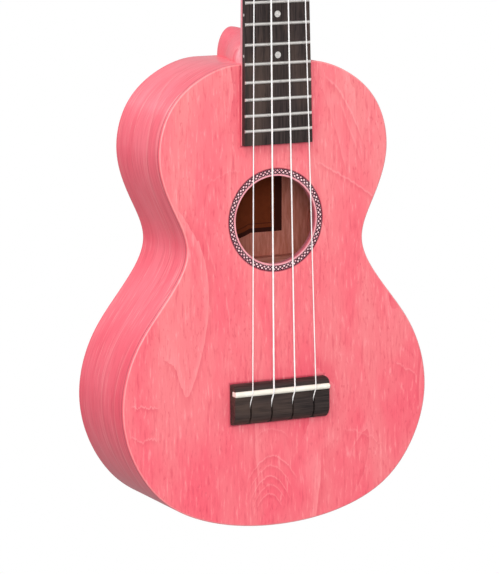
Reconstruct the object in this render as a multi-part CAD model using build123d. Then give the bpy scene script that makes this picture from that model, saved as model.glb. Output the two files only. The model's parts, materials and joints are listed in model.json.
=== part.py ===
from build123d import *
import math
import os

# A concert ukulele: pink-stained body, slotted bridge, 16 frets and open-geared tuners.
# Millimetres. +Z runs up the neck, the soundboard faces -Y, and +X is the treble side.
# The origin is on the centreline, in the plane of the soundboard, at the nut line.

# ---- Strings and scale ----
SCALE_LENGTH = 380.0
STRING_SPACING_NUT = 9.2
STRING_SPACING_SADDLE = 13.9
STRING_HEIGHT_NUT = 7.0
STRING_HEIGHT_SADDLE = 9.65
STRING_NAMES = ("g", "c", "e", "a")
STRING_DIAMETERS = (0.65, 1.0, 0.85, 0.65)

# ---- Body ----
BODY_TOP = -190.0
BODY_TAIL = -468.0
NECK_FLAT = 22.0
DEPTH_AT_NECK = 63.0
DEPTH_AT_TAIL = 70.0
SOUNDBOARD_THICKNESS = 2.0
BACK_THICKNESS = 2.2
SIDE_THICKNESS = 1.8
EDGE_ROUND = 1.0
HALF_OUTLINE = (
    (NECK_FLAT, BODY_TOP),
    (47.0, -197.0),
    (66.5, -214.0),
    (74.6, -244.0),
    (65.6, -274.0),
    (57.6, -298.5),
    (67.8, -321.5),
    (90.6, -353.5),
    (100.2, -391.0),
    (90.0, -427.5),
    (73.5, -447.5),
    (45.0, -461.8),
    (0.0, BODY_TAIL),
)
SEAM_CLEARANCE = 0.2
INSET_STEPS = 28

# ---- Soundhole and its trim ----
SOUNDHOLE_Z = -283.3
SOUNDHOLE_RADIUS = 26.3
ROSETTE_INNER = 27.3
ROSETTE_OUTER = 30.6
ROSETTE_DEPTH = 0.6
HOLE_RING_OUTER = 38.0
HOLE_RING_THICKNESS = 2.5

# ---- Inner frame ----
LINING_WIDTH = 4.0
LINING_HEIGHT = 6.0
NECK_BLOCK = (50.0, 24.0)
TAIL_BLOCK = (44.0, 14.0)
BRACE_WIDTH = 6.0
BRACE_HEIGHT = 8.0
TOP_CROSS_BRACES = (-241.0, -328.0)
BACK_BRACES = (-236.0, -318.8, -396.0)
BACK_BRACE_WIDTH = 8.0
FAN_BRACE_WIDTH = 5.0
FAN_BRACE_HEIGHT = 5.0
FAN_BRACE_TAIL = -444.0
FAN_BRACE_X = 45.0
FAN_BRACE_SPLAY = 6.0
BRIDGE_PLATE = (64.0, 34.0, 2.5)
LABEL = (69.2, 55.1, 0.15)
LABEL_Z = -272.5
LABEL_BULGE_RADIUS = 27.8
LABEL_BULGE = 3.4

# ---- Bridge, saddle and knots ----
BRIDGE_HALF_LENGTH = 31.2
BRIDGE_TOP_EDGE = -379.5
BRIDGE_TAIL_EDGE = -404.2
BRIDGE_HEIGHT = 7.0
BRIDGE_TAIL_FALL = 7.5
BRIDGE_HEAD_FALL = 2.4
BRIDGE_LAND = 1.6
BRIDGE_CORNER = 1.0
SADDLE_Z = -384.8
SADDLE_THICKNESS = 3.4
SADDLE_SLOT_DEPTH = 3.6
SADDLE_END_ROUND = 0.8
SADDLE_GAP = 0.36
STRING_ENTRY = -390.2
STRING_ENTRY_DEPTH = 0.5
STRING_SLIT_TOP = -387.6
STRING_SLIT_WIDTH = 1.15
STRING_SLIT_DEPTH = 5.2
KNOT_POCKET_RADIUS = 1.6
KNOT_POCKET_TOP = -397.6
KNOT_RADIUS = 1.35
KNOT_Z = -399.4
KNOT_Y = -2.9
STRING_BENDS = (2.0, 2.3, 2.2)

# ---- Fretboard and nut ----
FRET_COUNT = 16
FRETBOARD_END = -237.7
FRETBOARD_FACE = 5.0
FRETBOARD_BASE = 1.3
NUT_HALF_WIDTH = 18.5
FRETBOARD_END_HALF_WIDTH = 22.15
FRET_CROWN_WIDTH = 1.9
FRET_CROWN_HEIGHT = 0.8
FRET_TANG = (0.6, 1.6)
FRET_BEVEL = 0.5
DOT_FRETS = (5, 7, 10, 12)
FACE_DOT_RADIUS = 1.95
SIDE_DOT_RADIUS = 0.85
DOT_DEPTH = 1.2
DOT_DROP = 0.85
NUT_THICKNESS = 5.0
NUT_HEIGHT = 7.6
NUT_ROUND = 2.5
NUT_SLOT_FLARE = 0.3
NUT_SLOT_TURN = 4.0
NUT_SLOT_START = 2.1

# ---- Neck and heel ----
NECK_DEPTH_NUT = 13.5
NECK_DEPTH_BODY = 15.5
NECK_ARC_CENTRE = 3.0
HEEL_SPLIT = 17.0
HEEL_SECTIONS = (
    (1.0, 20.8, 14.6),
    (12.0, 19.4, 15.2),
    (20.0, 18.3, 15.8),
    (30.0, 15.8, 16.3),
    (45.0, 12.0, 16.9),
    (60.3, 9.2, 17.2),
)
HEEL_CAP_ROUND = 1.2
DOWEL_RADIUS = 4.0
DOWEL_LENGTH = 30.0
DOWEL_DEPTHS = (24.0, 45.0)

# ---- Headstock ----
HEAD_ANGLE = 12.0
HEAD_THICKNESS = 13.0
HEAD_BORE_RADIUS = 3.6
HEAD_HALF_WIDTH = 28.0
HEAD_LENGTH = 130.0
HEAD_SHOULDER = 26.0
HEAD_CORNER = (25.5, 119.0)
HEAD_CORNER_ROUND = 3.0
HEAD_STRAIGHT_END = 94.0
HEAD_SCALLOP = (18.4, 120.2)
HEAD_CROWN_START = (10.7, 124.0)
SCARF_RUN = 46.0

# ---- Tuners, given from the post's axis ----
POST_X = 17.0
POST_HEIGHTS = (38.0, 82.0)
POST_RADIUS = 3.0
POST_FRONT = 10.5
POST_END_RADIUS = 2.0
POST_TIP_ROUND = 0.8
POST_HOLE_RADIUS = 0.7
POST_HOLE_FROM_TIP = 2.4
RUNNING_CLEARANCE = 0.05
END_PLAY = 0.1
BUSHING_RADIUS = 4.25
BUSHING_FLANGE_RADIUS = 5.6
BUSHING_FLANGE = 1.5
BUSHING_LENGTH = 8.0
BUSHING_FLANGE_ROUND = 0.7
GEAR_TEETH = 14
GEAR_PITCH_RADIUS = 4.25
GEAR_WIDTH = 3.0
GEAR_ROOT_RADIUS = 3.4
GEAR_BLANK_RADIUS = 6.0
GEAR_TOOTH_PROFILE = ((3.2, 0.62), (3.5, 0.50), (4.25, 0.36), (4.86, 0.20))
GEAR_PHASE = 180 + 90 / GEAR_TEETH
GEAR_SCREW_RADIUS = 2.6
GEAR_SCREW_HEIGHT = 1.1
DRIVER_SLOT = 0.6
WORM_PITCH_RADIUS = 2.25
WORM_LENGTH = 8.2
WORM_HEIGHT = 4.2
WORM_THREAD_FOOT = 0.62
WORM_THREAD_TIP = 0.20
WORM_DEDENDUM = 1.25
SHAFT_RADIUS = 1.2
PLATE_THICKNESS = 1.0
PLATE_HALF_WIDTH = 6.2
PLATE_BOTTOM = -16.0
PLATE_TOP = 11.0
PLATE_CORNER = 3.5
EAR_X = 4.7
EAR_THICKNESS = 1.0
EAR_RADIUS = 3.3
TUNER_SCREW_HEIGHTS = (-13.2, 8.4)
SCREW_RADIUS = 1.1
SCREW_HEAD_RADIUS = 2.1
SCREW_LENGTH = 8.0
SCREW_HEAD_HEIGHT = 1.2
SCREW_HEAD_ROUND = 0.6
SCREW_CROSS = (2.2, 0.5)
BUTTON_START = 13.4
BUTTON_SIZE = (13.0, 17.0, 6.4)
BUTTON_ROUND = 2.4
BUTTON_COLLAR = (2.4, 1.4, 3.0)
BUTTON_GRIP = 0.6
WINDING_TURNS = 4
WINDING_BOTTOM = 3.4
WINDING_STRING = 0.85
STRING_TO_WINDING = 0.3

# ---- Worked out from the above ----
GEAR_MODULE = 2 * GEAR_PITCH_RADIUS / GEAR_TEETH
WORM_PITCH = math.pi * GEAR_MODULE
WORM_LEAD_ANGLE = math.degrees(math.atan(WORM_PITCH / (2 * math.pi * WORM_PITCH_RADIUS)))
WORM_Z = -(GEAR_PITCH_RADIUS + WORM_PITCH_RADIUS)
BACK_SLOPE = (DEPTH_AT_TAIL - DEPTH_AT_NECK) / (BODY_TAIL - BODY_TOP)
FAR = 300.0


# ---- Helpers ----
def save(name, shape):
    """Write one named sub-part."""
    os.makedirs("parts", exist_ok=True)
    export_step(shape, f"parts/{name}.step")


def region(face, y_from, y_to):
    """Extrude a face drawn in X and Z towards the back of the body."""
    return extrude(Pos(0, y_from, 0) * face, amount=y_to - y_from, dir=(0, 1, 0))


def block(x_from, x_to, y_from, y_to, z_from, z_to):
    """A box given by its limits along each axis."""
    centre = Pos((x_from + x_to) / 2, (y_from + y_to) / 2, (z_from + z_to) / 2)
    return centre * Box(x_to - x_from, y_to - y_from, z_to - z_from)


def rod(radius, y_from, y_to, x=0.0, z=0.0):
    """A round bar along Y."""
    centre = Pos(x, (y_from + y_to) / 2, z) * Rot(90, 0, 0)
    return centre * Cylinder(radius, y_to - y_from)


def cross_bar(radius, x_from, x_to, y=0.0, z=0.0):
    """A round bar along X."""
    centre = Pos((x_from + x_to) / 2, y, z) * Rot(0, 90, 0)
    return centre * Cylinder(radius, x_to - x_from)


def back_depth(z):
    """Depth of the back's outer face at a height on the body."""
    return DEPTH_AT_NECK + BACK_SLOPE * (z - BODY_TOP)


def before_back(inset):
    """Everything in front of a plane that lies a given distance inside the back's outer face."""
    top = BODY_TOP + 40
    tail = BODY_TAIL - 40
    corners = (
        (-40, top),
        (back_depth(top) - inset, top),
        (back_depth(tail) - inset, tail),
        (-40, tail),
    )
    profile = make_face(Plane.YZ * Polyline(*corners, close=True))
    return extrude(profile, amount=FAR / 2, both=True)


def fretboard_half_width(z):
    """Half the width of the fretboard at a height on the neck."""
    share = z / FRETBOARD_END
    return NUT_HALF_WIDTH + share * (FRETBOARD_END_HALF_WIDTH - NUT_HALF_WIDTH)


def fret_line(number):
    """Height of a fret, from the rule of the twelfth root of two."""
    return -SCALE_LENGTH * (1 - 2 ** (-number / 12))


def fret_gap(number):
    """Height midway between a fret and the one before it."""
    return (fret_line(number) + fret_line(number - 1)) / 2


def string_offsets(spacing):
    """X of the four strings for a given spacing, bass side first."""
    return [spacing * (index - 1.5) for index in range(4)]


HEAD_FRAME = Pos(0, 0, NUT_THICKNESS) * Rot(-HEAD_ANGLE, 0, 0)


def on_head(x, y, z):
    """A point given in the headstock's own frame, in the frame of the whole instrument."""
    return (HEAD_FRAME * Pos(x, y, z)).position


# ---- Body ----
half_outline = Spline(*HALF_OUTLINE, tangents=[(1, 0), (-1, 0)], tangent_scalars=(1, 1))
other_half = mirror(half_outline, about=Plane.YZ)
neck_line = Line((-NECK_FLAT, BODY_TOP), (NECK_FLAT, BODY_TOP))
flat_outline = make_face(half_outline + other_half + neck_line)
outline_face = Plane.XZ * flat_outline
inner_back = before_back(BACK_THICKNESS)


def inset_outline(distance):
    """The body's outline moved inwards by a distance, square to itself."""
    points = []
    for step in range(INSET_STEPS + 1):
        place = half_outline @ (step / INSET_STEPS)
        inwards = (half_outline % (step / INSET_STEPS)).rotate(Axis.Z, -90)
        moved = place + inwards * distance
        points.append((moved.X, moved.Y))
    half = Spline(*points)
    top = BODY_TOP - distance
    flat = Line((-NECK_FLAT, top), (NECK_FLAT, top))
    return Plane.XZ * make_face(half + mirror(half, about=Plane.YZ) + flat)


inside_face = inset_outline(SIDE_THICKNESS)
lining_face = inset_outline(SIDE_THICKNESS + LINING_WIDTH)
brace_face = inset_outline(SIDE_THICKNESS + LINING_WIDTH + SEAM_CLEARANCE)


def hole_disc(radius, y_from, y_to):
    """A disc concentric with the soundhole."""
    return rod(radius, y_from, y_to, 0, SOUNDHOLE_Z)


def make_soundboard():
    """Flat top, rounded along its edge, with the soundhole and the channel for the rosette."""
    plate = region(outline_face, 0, SOUNDBOARD_THICKNESS)
    front_edges = plate.faces().sort_by(Axis.Y)[0].edges()
    plate = fillet(front_edges, EDGE_ROUND)
    channel = hole_disc(ROSETTE_OUTER, 0, ROSETTE_DEPTH) - hole_disc(ROSETTE_INNER, 0, ROSETTE_DEPTH)
    return plate - hole_disc(SOUNDHOLE_RADIUS, -1, SOUNDBOARD_THICKNESS + 1) - channel


def make_back_plate():
    """Flat back that leans outwards towards the tail, rounded along its edge."""
    column = region(outline_face, SOUNDBOARD_THICKNESS, DEPTH_AT_TAIL + 5)
    plate = column & (before_back(0) - inner_back)
    back_edges = plate.faces().sort_by(Axis.Y)[-1].edges()
    return fillet(back_edges, EDGE_ROUND)


def make_rosette():
    """Inlaid ring round the soundhole, level with the soundboard."""
    return hole_disc(ROSETTE_OUTER, 0, ROSETTE_DEPTH) - hole_disc(ROSETTE_INNER, 0, ROSETTE_DEPTH)


def make_soundhole_ring():
    """Reinforcement glued under the soundboard, flush with the hole."""
    front = SOUNDBOARD_THICKNESS
    back = front + HOLE_RING_THICKNESS
    return hole_disc(HOLE_RING_OUTER, front, back) - hole_disc(SOUNDHOLE_RADIUS, front, back)


def make_dowels():
    """Round pins that join the heel to the neck block."""
    pins = []
    for depth in DOWEL_DEPTHS:
        pins.append(Pos(0, depth, BODY_TOP) * Cylinder(DOWEL_RADIUS, DOWEL_LENGTH))
    return pins


def make_sides():
    """Two bent ribs that meet on the centreline at the neck and at the tail."""
    hoop = region(outline_face - inside_face, SOUNDBOARD_THICKNESS, DEPTH_AT_TAIL + 5) & inner_back
    for pin in make_dowels():
        hoop = hoop - pin
    bass = hoop & block(-FAR, 0, -FAR, FAR, -2 * FAR, 0)
    treble = hoop & block(0, FAR, -FAR, FAR, -2 * FAR, 0)
    return bass, treble


def end_block_space(size, z_outer, z_inner):
    """Room that an end block takes, over the whole depth of the body."""
    half = size[0] / 2
    return block(-half, half, SOUNDBOARD_THICKNESS, DEPTH_AT_TAIL + 5, z_outer, z_inner)


neck_block_space = end_block_space(NECK_BLOCK, BODY_TOP - NECK_BLOCK[1], BODY_TOP)
tail_block_space = end_block_space(TAIL_BLOCK, BODY_TAIL, BODY_TAIL + TAIL_BLOCK[1])
inside_space = region(inside_face, SOUNDBOARD_THICKNESS, DEPTH_AT_TAIL + 5) & inner_back


def make_neck_block():
    """Block inside the body that carries the neck."""
    solid = neck_block_space & inside_space
    for pin in make_dowels():
        solid = solid - pin
    return solid


def make_tail_block():
    """Block inside the body where the ribs meet at the tail."""
    return tail_block_space & inside_space


def make_linings():
    """Strips that widen the glue line between the ribs and each plate."""
    hoop = region(inside_face - lining_face, SOUNDBOARD_THICKNESS, DEPTH_AT_TAIL + 5) & inner_back
    hoop = hoop - neck_block_space - tail_block_space
    front_slab = block(-FAR, FAR, 0, SOUNDBOARD_THICKNESS + LINING_HEIGHT, -2 * FAR, 0)
    return hoop & front_slab, hoop - before_back(BACK_THICKNESS + LINING_HEIGHT)


def brace_room():
    """Room inside the linings, where braces may lie."""
    return region(brace_face, SOUNDBOARD_THICKNESS, DEPTH_AT_TAIL + 5) & inner_back


def make_top_cross_braces():
    """Two bars under the soundboard, one above and one below the soundhole."""
    bars = []
    for z in TOP_CROSS_BRACES:
        back = SOUNDBOARD_THICKNESS + BRACE_HEIGHT
        bar = block(-FAR, FAR, SOUNDBOARD_THICKNESS, back, z - BRACE_WIDTH / 2, z + BRACE_WIDTH / 2)
        bars.append(bar & brace_room())
    return Compound(children=bars)


def make_back_braces():
    """Three bars across the inside of the back."""
    layer = brace_room() - before_back(BACK_THICKNESS + BRACE_HEIGHT)
    bars = []
    for z in BACK_BRACES:
        half = BACK_BRACE_WIDTH / 2
        bars.append(layer & block(-FAR, FAR, 0, FAR, z - half, z + half))
    return Compound(children=bars)


def make_fan_braces():
    """Light bars behind the bridge: one each side of its plate and one below it."""
    start = TOP_CROSS_BRACES[1] - BRACE_WIDTH / 2
    back = SOUNDBOARD_THICKNESS + FAN_BRACE_HEIGHT
    half = FAN_BRACE_WIDTH / 2
    plate_end = (BRIDGE_TOP_EDGE + BRIDGE_TAIL_EDGE) / 2 - BRIDGE_PLATE[1] / 2
    bars = [block(-half, half, SOUNDBOARD_THICKNESS, back, FAN_BRACE_TAIL, plate_end)]
    for side in (-1, 1):
        long_bar = block(-half, half, SOUNDBOARD_THICKNESS, back, FAN_BRACE_TAIL, start)
        middle = (start + FAN_BRACE_TAIL) / 2
        splay = Rot(0, -side * FAN_BRACE_SPLAY, 0)
        turned = Pos(side * FAN_BRACE_X, 0, middle) * splay * Pos(0, 0, -middle) * long_bar
        bars.append(turned & block(-FAR, FAR, 0, FAR, FAN_BRACE_TAIL, start))
    return Compound(children=bars)


def make_bridge_plate():
    """Thin plate under the soundboard that spreads the pull of the bridge."""
    width, height, thickness = BRIDGE_PLATE
    middle = (BRIDGE_TOP_EDGE + BRIDGE_TAIL_EDGE) / 2
    back = SOUNDBOARD_THICKNESS + thickness
    return block(-width / 2, width / 2, SOUNDBOARD_THICKNESS, back, middle - height / 2, middle + height / 2)


def make_label():
    """Paper label on the inside of the back, opposite the soundhole, with a bulge at its foot."""
    width, height, thickness = LABEL
    foot = LABEL_Z - height / 2
    column = block(-width / 2, width / 2, 0, FAR, foot, LABEL_Z + height / 2)
    column = column + rod(LABEL_BULGE_RADIUS, 0, FAR, 0, foot + LABEL_BULGE_RADIUS - LABEL_BULGE)
    return column & (inner_back - before_back(BACK_THICKNESS + thickness))


# ---- Bridge, saddle and knots ----
def bridge_blank():
    """The bridge before it is slotted: a flat top that falls in a curve to both long edges."""
    flat_start = BRIDGE_TOP_EDGE - BRIDGE_HEAD_FALL
    flat_end = BRIDGE_TAIL_EDGE + BRIDGE_TAIL_FALL
    front = -BRIDGE_HEIGHT
    base = Polyline((-BRIDGE_LAND, BRIDGE_TAIL_EDGE), (0, BRIDGE_TAIL_EDGE), (0, BRIDGE_TOP_EDGE))
    foot = Line((0, BRIDGE_TOP_EDGE), (-BRIDGE_LAND, BRIDGE_TOP_EDGE))
    rise = TangentArc((-BRIDGE_LAND, BRIDGE_TOP_EDGE), (front, flat_start), tangent=(-1, 0))
    flat = Line((front, flat_start), (front, flat_end))
    fall = TangentArc((front, flat_end), (-BRIDGE_LAND, BRIDGE_TAIL_EDGE), tangent=(0, -1))
    profile = make_face(Plane.YZ * (base + foot + rise + flat + fall))
    solid = extrude(profile, amount=BRIDGE_HALF_LENGTH, both=True)
    height = BRIDGE_TOP_EDGE - BRIDGE_TAIL_EDGE
    middle = (BRIDGE_TOP_EDGE + BRIDGE_TAIL_EDGE) / 2
    plan = Pos(0, middle, 0) * RectangleRounded(2 * BRIDGE_HALF_LENGTH, height, BRIDGE_CORNER)
    return solid & region(Plane.XZ * plan, -BRIDGE_HEIGHT, 0)


def make_bridge():
    """Bridge with an open slot for the saddle and a slit and a knot pocket for each string."""
    solid = bridge_blank()
    half = SADDLE_THICKNESS / 2
    floor = -BRIDGE_HEIGHT + SADDLE_SLOT_DEPTH
    solid = solid - block(-FAR, FAR, -FAR, floor, SADDLE_Z - half, SADDLE_Z + half)
    slit_floor = -BRIDGE_HEIGHT + STRING_SLIT_DEPTH
    for x in string_offsets(STRING_SPACING_SADDLE):
        wall = STRING_SLIT_WIDTH / 2
        solid = solid - block(x - wall, x + wall, -FAR, slit_floor, BRIDGE_TAIL_EDGE - 1, STRING_SLIT_TOP)
        depth = KNOT_POCKET_TOP - BRIDGE_TAIL_EDGE + 1
        solid = solid - Pos(x, KNOT_Y, KNOT_POCKET_TOP - depth / 2) * Cylinder(KNOT_POCKET_RADIUS, depth)
    return solid


def make_saddle():
    """Straight bar that fills the bridge's slot, with a round crown for the strings."""
    half = SADDLE_THICKNESS / 2
    floor = -BRIDGE_HEIGHT + SADDLE_SLOT_DEPTH
    crown = SADDLE_GAP + max(STRING_DIAMETERS) / 2 - STRING_HEIGHT_SADDLE
    left = Polyline((crown + half, SADDLE_Z + half), (floor, SADDLE_Z + half))
    base = Line((floor, SADDLE_Z + half), (floor, SADDLE_Z - half))
    right = Line((floor, SADDLE_Z - half), (crown + half, SADDLE_Z - half))
    top = ThreePointArc((crown + half, SADDLE_Z - half), (crown, SADDLE_Z), (crown + half, SADDLE_Z + half))
    profile = make_face(Plane.YZ * (left + base + right + top))
    bar = extrude(profile, amount=BRIDGE_HALF_LENGTH, both=True)
    ends = bar.edges().filter_by(GeomType.CIRCLE)
    return fillet(ends, SADDLE_END_ROUND)


def make_string_knots():
    """Knots that hold the strings in the bridge's pockets."""
    knots = []
    for x, diameter in zip(string_offsets(STRING_SPACING_SADDLE), STRING_DIAMETERS):
        radius = KNOT_RADIUS + (diameter - max(STRING_DIAMETERS)) / 3
        knots.append(Pos(x, KNOT_Y, KNOT_Z) * Sphere(radius))
    return knots


# ---- Fretboard and nut ----
def tapered_board(y_from, y_to):
    """Tapered layer from the nut line to the fretboard's end over the soundboard."""
    corners = (
        (-NUT_HALF_WIDTH, 0),
        (NUT_HALF_WIDTH, 0),
        (FRETBOARD_END_HALF_WIDTH, FRETBOARD_END),
        (-FRETBOARD_END_HALF_WIDTH, FRETBOARD_END),
    )
    return region(make_face(Plane.XZ * Polyline(*corners, close=True)), y_from, y_to)


def fretboard_blank():
    """The dark board before it is slotted."""
    return tapered_board(-FRETBOARD_FACE, -FRETBOARD_BASE)


def make_fret(number):
    """One fret: a round crown on a thin tang, bevelled at its ends."""
    z = fret_line(number)
    surface = -FRETBOARD_FACE
    crown_half = FRET_CROWN_WIDTH / 2
    tang_half = FRET_TANG[0] / 2
    start = (surface, z - crown_half)
    finish = (surface, z + crown_half)
    arc = ThreePointArc(start, (surface - FRET_CROWN_HEIGHT, z), finish)
    crown = make_face(Plane.YZ * (arc + Line(finish, start)))
    half_width = fretboard_half_width(z)
    wire = extrude(crown, amount=half_width, both=True)
    corners = (
        (-half_width, surface),
        (half_width, surface),
        (half_width - FRET_BEVEL, surface - FRET_CROWN_HEIGHT),
        (FRET_BEVEL - half_width, surface - FRET_CROWN_HEIGHT),
    )
    trim = make_face(Polyline(*corners, close=True))
    bevel = extrude(Pos(0, 0, z) * trim, amount=FRET_CROWN_WIDTH, both=True)
    tang_reach = half_width - FRET_BEVEL
    tang = block(-tang_reach, tang_reach, surface, surface + FRET_TANG[1], z - tang_half, z + tang_half)
    return (wire & bevel) + tang


def dot_pegs():
    """Pegs for the position marks: four on the face and four on the bass edge."""
    face_pegs = []
    side_pegs = []
    surface = -FRETBOARD_FACE
    middle = -(FRETBOARD_FACE + FRETBOARD_BASE) / 2
    for number in DOT_FRETS:
        z = fret_gap(number) - DOT_DROP
        edge = -fretboard_half_width(z)
        face_pegs.append(rod(FACE_DOT_RADIUS, surface - 1, surface + DOT_DEPTH, 0, z))
        side_pegs.append(cross_bar(SIDE_DOT_RADIUS, edge - 1, edge + DOT_DEPTH, middle, z))
    return face_pegs, side_pegs


def make_fretboard():
    """Fretboard with a slot for each fret and a hole for each mark."""
    board = fretboard_blank()
    for number in range(1, FRET_COUNT + 1):
        board = board - make_fret(number)
    face_pegs, side_pegs = dot_pegs()
    for peg in face_pegs + side_pegs:
        board = board - peg
    return board


def make_dots():
    """The marks themselves, cut level with the board."""
    face_pegs, side_pegs = dot_pegs()
    blank = fretboard_blank()
    face_dots = Compound(children=[blank & peg for peg in face_pegs])
    side_dots = Compound(children=[blank & peg for peg in side_pegs])
    return face_dots, side_dots


def make_nut():
    """Nut with a round-topped front edge and a slot for each string."""
    bar = block(-NUT_HALF_WIDTH, NUT_HALF_WIDTH, -NUT_HEIGHT, 0, 0, NUT_THICKNESS)
    top_edge = bar.edges().filter_by(Axis.X).sort_by(lambda edge: edge.center().Y - edge.center().Z)[0]
    bar = fillet(top_edge, NUT_ROUND)
    for x, diameter in zip(string_offsets(STRING_SPACING_NUT), STRING_DIAMETERS):
        half = diameter / 2 + RUNNING_CLEARANCE
        bar = bar - block(x - half, x + half, -FAR, -STRING_HEIGHT_NUT, -1, NUT_THICKNESS + 1)
        bar = bar - Pos(x, -STRING_HEIGHT_NUT, 0) * Cylinder(half, 4 * NUT_THICKNESS)
        flare = half + NUT_SLOT_FLARE
        slope = Pos(x, -STRING_HEIGHT_NUT, NUT_SLOT_START) * Rot(-HEAD_ANGLE - NUT_SLOT_TURN, 0, 0)
        bar = bar - slope * block(-flare, flare, -FAR, half + RUNNING_CLEARANCE, 0, NUT_THICKNESS)
    return bar


# ---- Neck, heel and headstock ----
def half_round(z, half_width, depth):
    """A half ellipse that passes the soundboard's plane at the given half width."""
    deep = depth + NECK_ARC_CENTRE
    wide = half_width / math.sqrt(1 - (NECK_ARC_CENTRE / deep) ** 2)
    arc = EllipticalCenterArc((0, 0), wide, deep, start_angle=0, arc_size=180)
    chord = Line((-wide, 0), (wide, 0))
    return Pos(0, -NECK_ARC_CENTRE, z) * make_face(arc + chord)


def neck_shaft():
    """Half-round shaft from the body to the end of the nut."""
    nut_end = half_round(NUT_THICKNESS, fretboard_half_width(0), NECK_DEPTH_NUT)
    body_end = half_round(BODY_TOP, fretboard_half_width(BODY_TOP), NECK_DEPTH_BODY)
    return loft([nut_end, body_end]) & block(-FAR, FAR, 0, FAR, -FAR, FAR)


def heel_lobe():
    """Rounded heel that narrows from the neck towards the back."""
    sections = []
    for depth, half_width, height in HEEL_SECTIONS:
        arc = EllipticalCenterArc((0, 0), half_width, height, start_angle=0, arc_size=180)
        chord = Line((-half_width, 0), (half_width, 0))
        sections.append(Pos(0, depth, BODY_TOP) * (Plane.XZ * make_face(arc + chord)))
    lobe = loft(sections)
    cap_arc = lobe.faces().sort_by(Axis.Y)[-1].edges().sort_by(SortBy.LENGTH)[-1]
    return fillet(cap_arc, HEEL_CAP_ROUND)


def head_slab():
    """Flat headstock with a crowned end, before it is tilted back."""
    crown_x, crown_z = HEAD_CROWN_START
    side = Spline(
        (NUT_HALF_WIDTH, 0),
        (HEAD_HALF_WIDTH, HEAD_SHOULDER),
        (HEAD_HALF_WIDTH, HEAD_STRAIGHT_END),
        HEAD_CORNER,
        tangents=[(0, 1), (-0.3, 1)],
    )
    shoulder = ThreePointArc(HEAD_CORNER, HEAD_SCALLOP, HEAD_CROWN_START)
    crown = ThreePointArc(HEAD_CROWN_START, (0, HEAD_LENGTH), (-crown_x, crown_z))
    half = side + shoulder
    edge = half + mirror(half, about=Plane.YZ) + crown + Line((-NUT_HALF_WIDTH, 0), (NUT_HALF_WIDTH, 0))
    plan = make_face(edge)
    plan = fillet(plan.vertices().filter_by(lambda corner: corner.Y > 1), HEAD_CORNER_ROUND)
    slab = region(Plane.XZ * plan, 0, HEAD_THICKNESS)
    rims = slab.faces().sort_by(Axis.Y)[0].edges() + slab.faces().sort_by(Axis.Y)[-1].edges()
    rims = rims.filter_by(lambda rim: rim.center().Z > 1)
    return fillet(rims, EDGE_ROUND)


def scarf_side():
    """Everything above the slanted glue joint between the neck and the headstock."""
    foot = NUT_THICKNESS - SCARF_RUN
    depth = NECK_DEPTH_NUT + 4
    corners = ((0, NUT_THICKNESS), (depth, foot), (4 * depth, foot), (4 * depth, FAR), (0, FAR))
    slanted = make_face(Plane.YZ * Polyline(*corners, close=True))
    upper = extrude(slanted, amount=FAR / 4, both=True)
    return upper + block(-FAR / 4, FAR / 4, -FAR / 4, 0, NUT_THICKNESS, FAR)


def tuner_places():
    """Name, side and post height of each tuner, in the order of the strings."""
    low, high = POST_HEIGHTS
    return (("g", -1, low), ("c", -1, high), ("e", 1, high), ("a", 1, low))


def make_neck_pieces():
    """Neck shaft, stacked heel and scarfed headstock, cut from one carved shape."""
    shaft = neck_shaft() + heel_lobe()
    for pin in make_dowels():
        shaft = shaft - pin
    split = block(-FAR, FAR, HEEL_SPLIT, FAR, BODY_TOP - 1, -100)
    heel = shaft & split
    shaft = shaft - split
    blank = shaft + HEAD_FRAME * head_slab()
    neck = blank - scarf_side()
    head = blank & scarf_side()
    for _, side, height in tuner_places():
        x = side * POST_X
        bore = rod(BUSHING_RADIUS, -1, BUSHING_LENGTH, x, height)
        bore = bore + rod(HEAD_BORE_RADIUS, 0, HEAD_THICKNESS + 1, x, height)
        for screw_height in TUNER_SCREW_HEIGHTS:
            z = height + screw_height
            bore = bore + rod(SCREW_RADIUS, HEAD_THICKNESS - SCREW_LENGTH, HEAD_THICKNESS + 1, x, z)
        head = head - HEAD_FRAME * bore
    return neck, heel, head


# ---- Tuners ----
def gear_tooth():
    """One tooth of the wheel, leaning with the worm's thread."""
    flank = [(half, radius) for radius, half in GEAR_TOOTH_PROFILE]
    other = [(-half, radius) for radius, half in reversed(GEAR_TOOTH_PROFILE)]
    tooth = make_face(Plane.XZ * Polyline(*flank, *other, close=True))
    return Rot(0, 0, -WORM_LEAD_ANGLE) * extrude(tooth, amount=GEAR_WIDTH, both=True)


def make_gear_wheel():
    """Toothed wheel on the post's end, with its fixing screw."""
    middle = HEAD_THICKNESS + WORM_HEIGHT
    front = middle - GEAR_WIDTH / 2
    back = middle + GEAR_WIDTH / 2
    seat = HEAD_THICKNESS + PLATE_THICKNESS + END_PLAY
    wheel = rod(GEAR_ROOT_RADIUS, front, back)
    band = rod(GEAR_BLANK_RADIUS, front, back)
    for number in range(GEAR_TEETH):
        angle = 360 / GEAR_TEETH * number + GEAR_PHASE
        wheel = wheel + (Rot(0, angle, 0) * Pos(0, middle, 0) * gear_tooth() & band)
    wheel = wheel + rod(GEAR_ROOT_RADIUS, seat, front)
    wheel = wheel - rod(POST_END_RADIUS, HEAD_THICKNESS, back + 1)
    screw_top = back + GEAR_SCREW_HEIGHT
    half = DRIVER_SLOT / 2
    slot = block(-half, half, screw_top - DRIVER_SLOT, screw_top + 1, -FAR, FAR)
    return Compound(children=[wheel, rod(GEAR_SCREW_RADIUS, back, screw_top) - slot])


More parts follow.
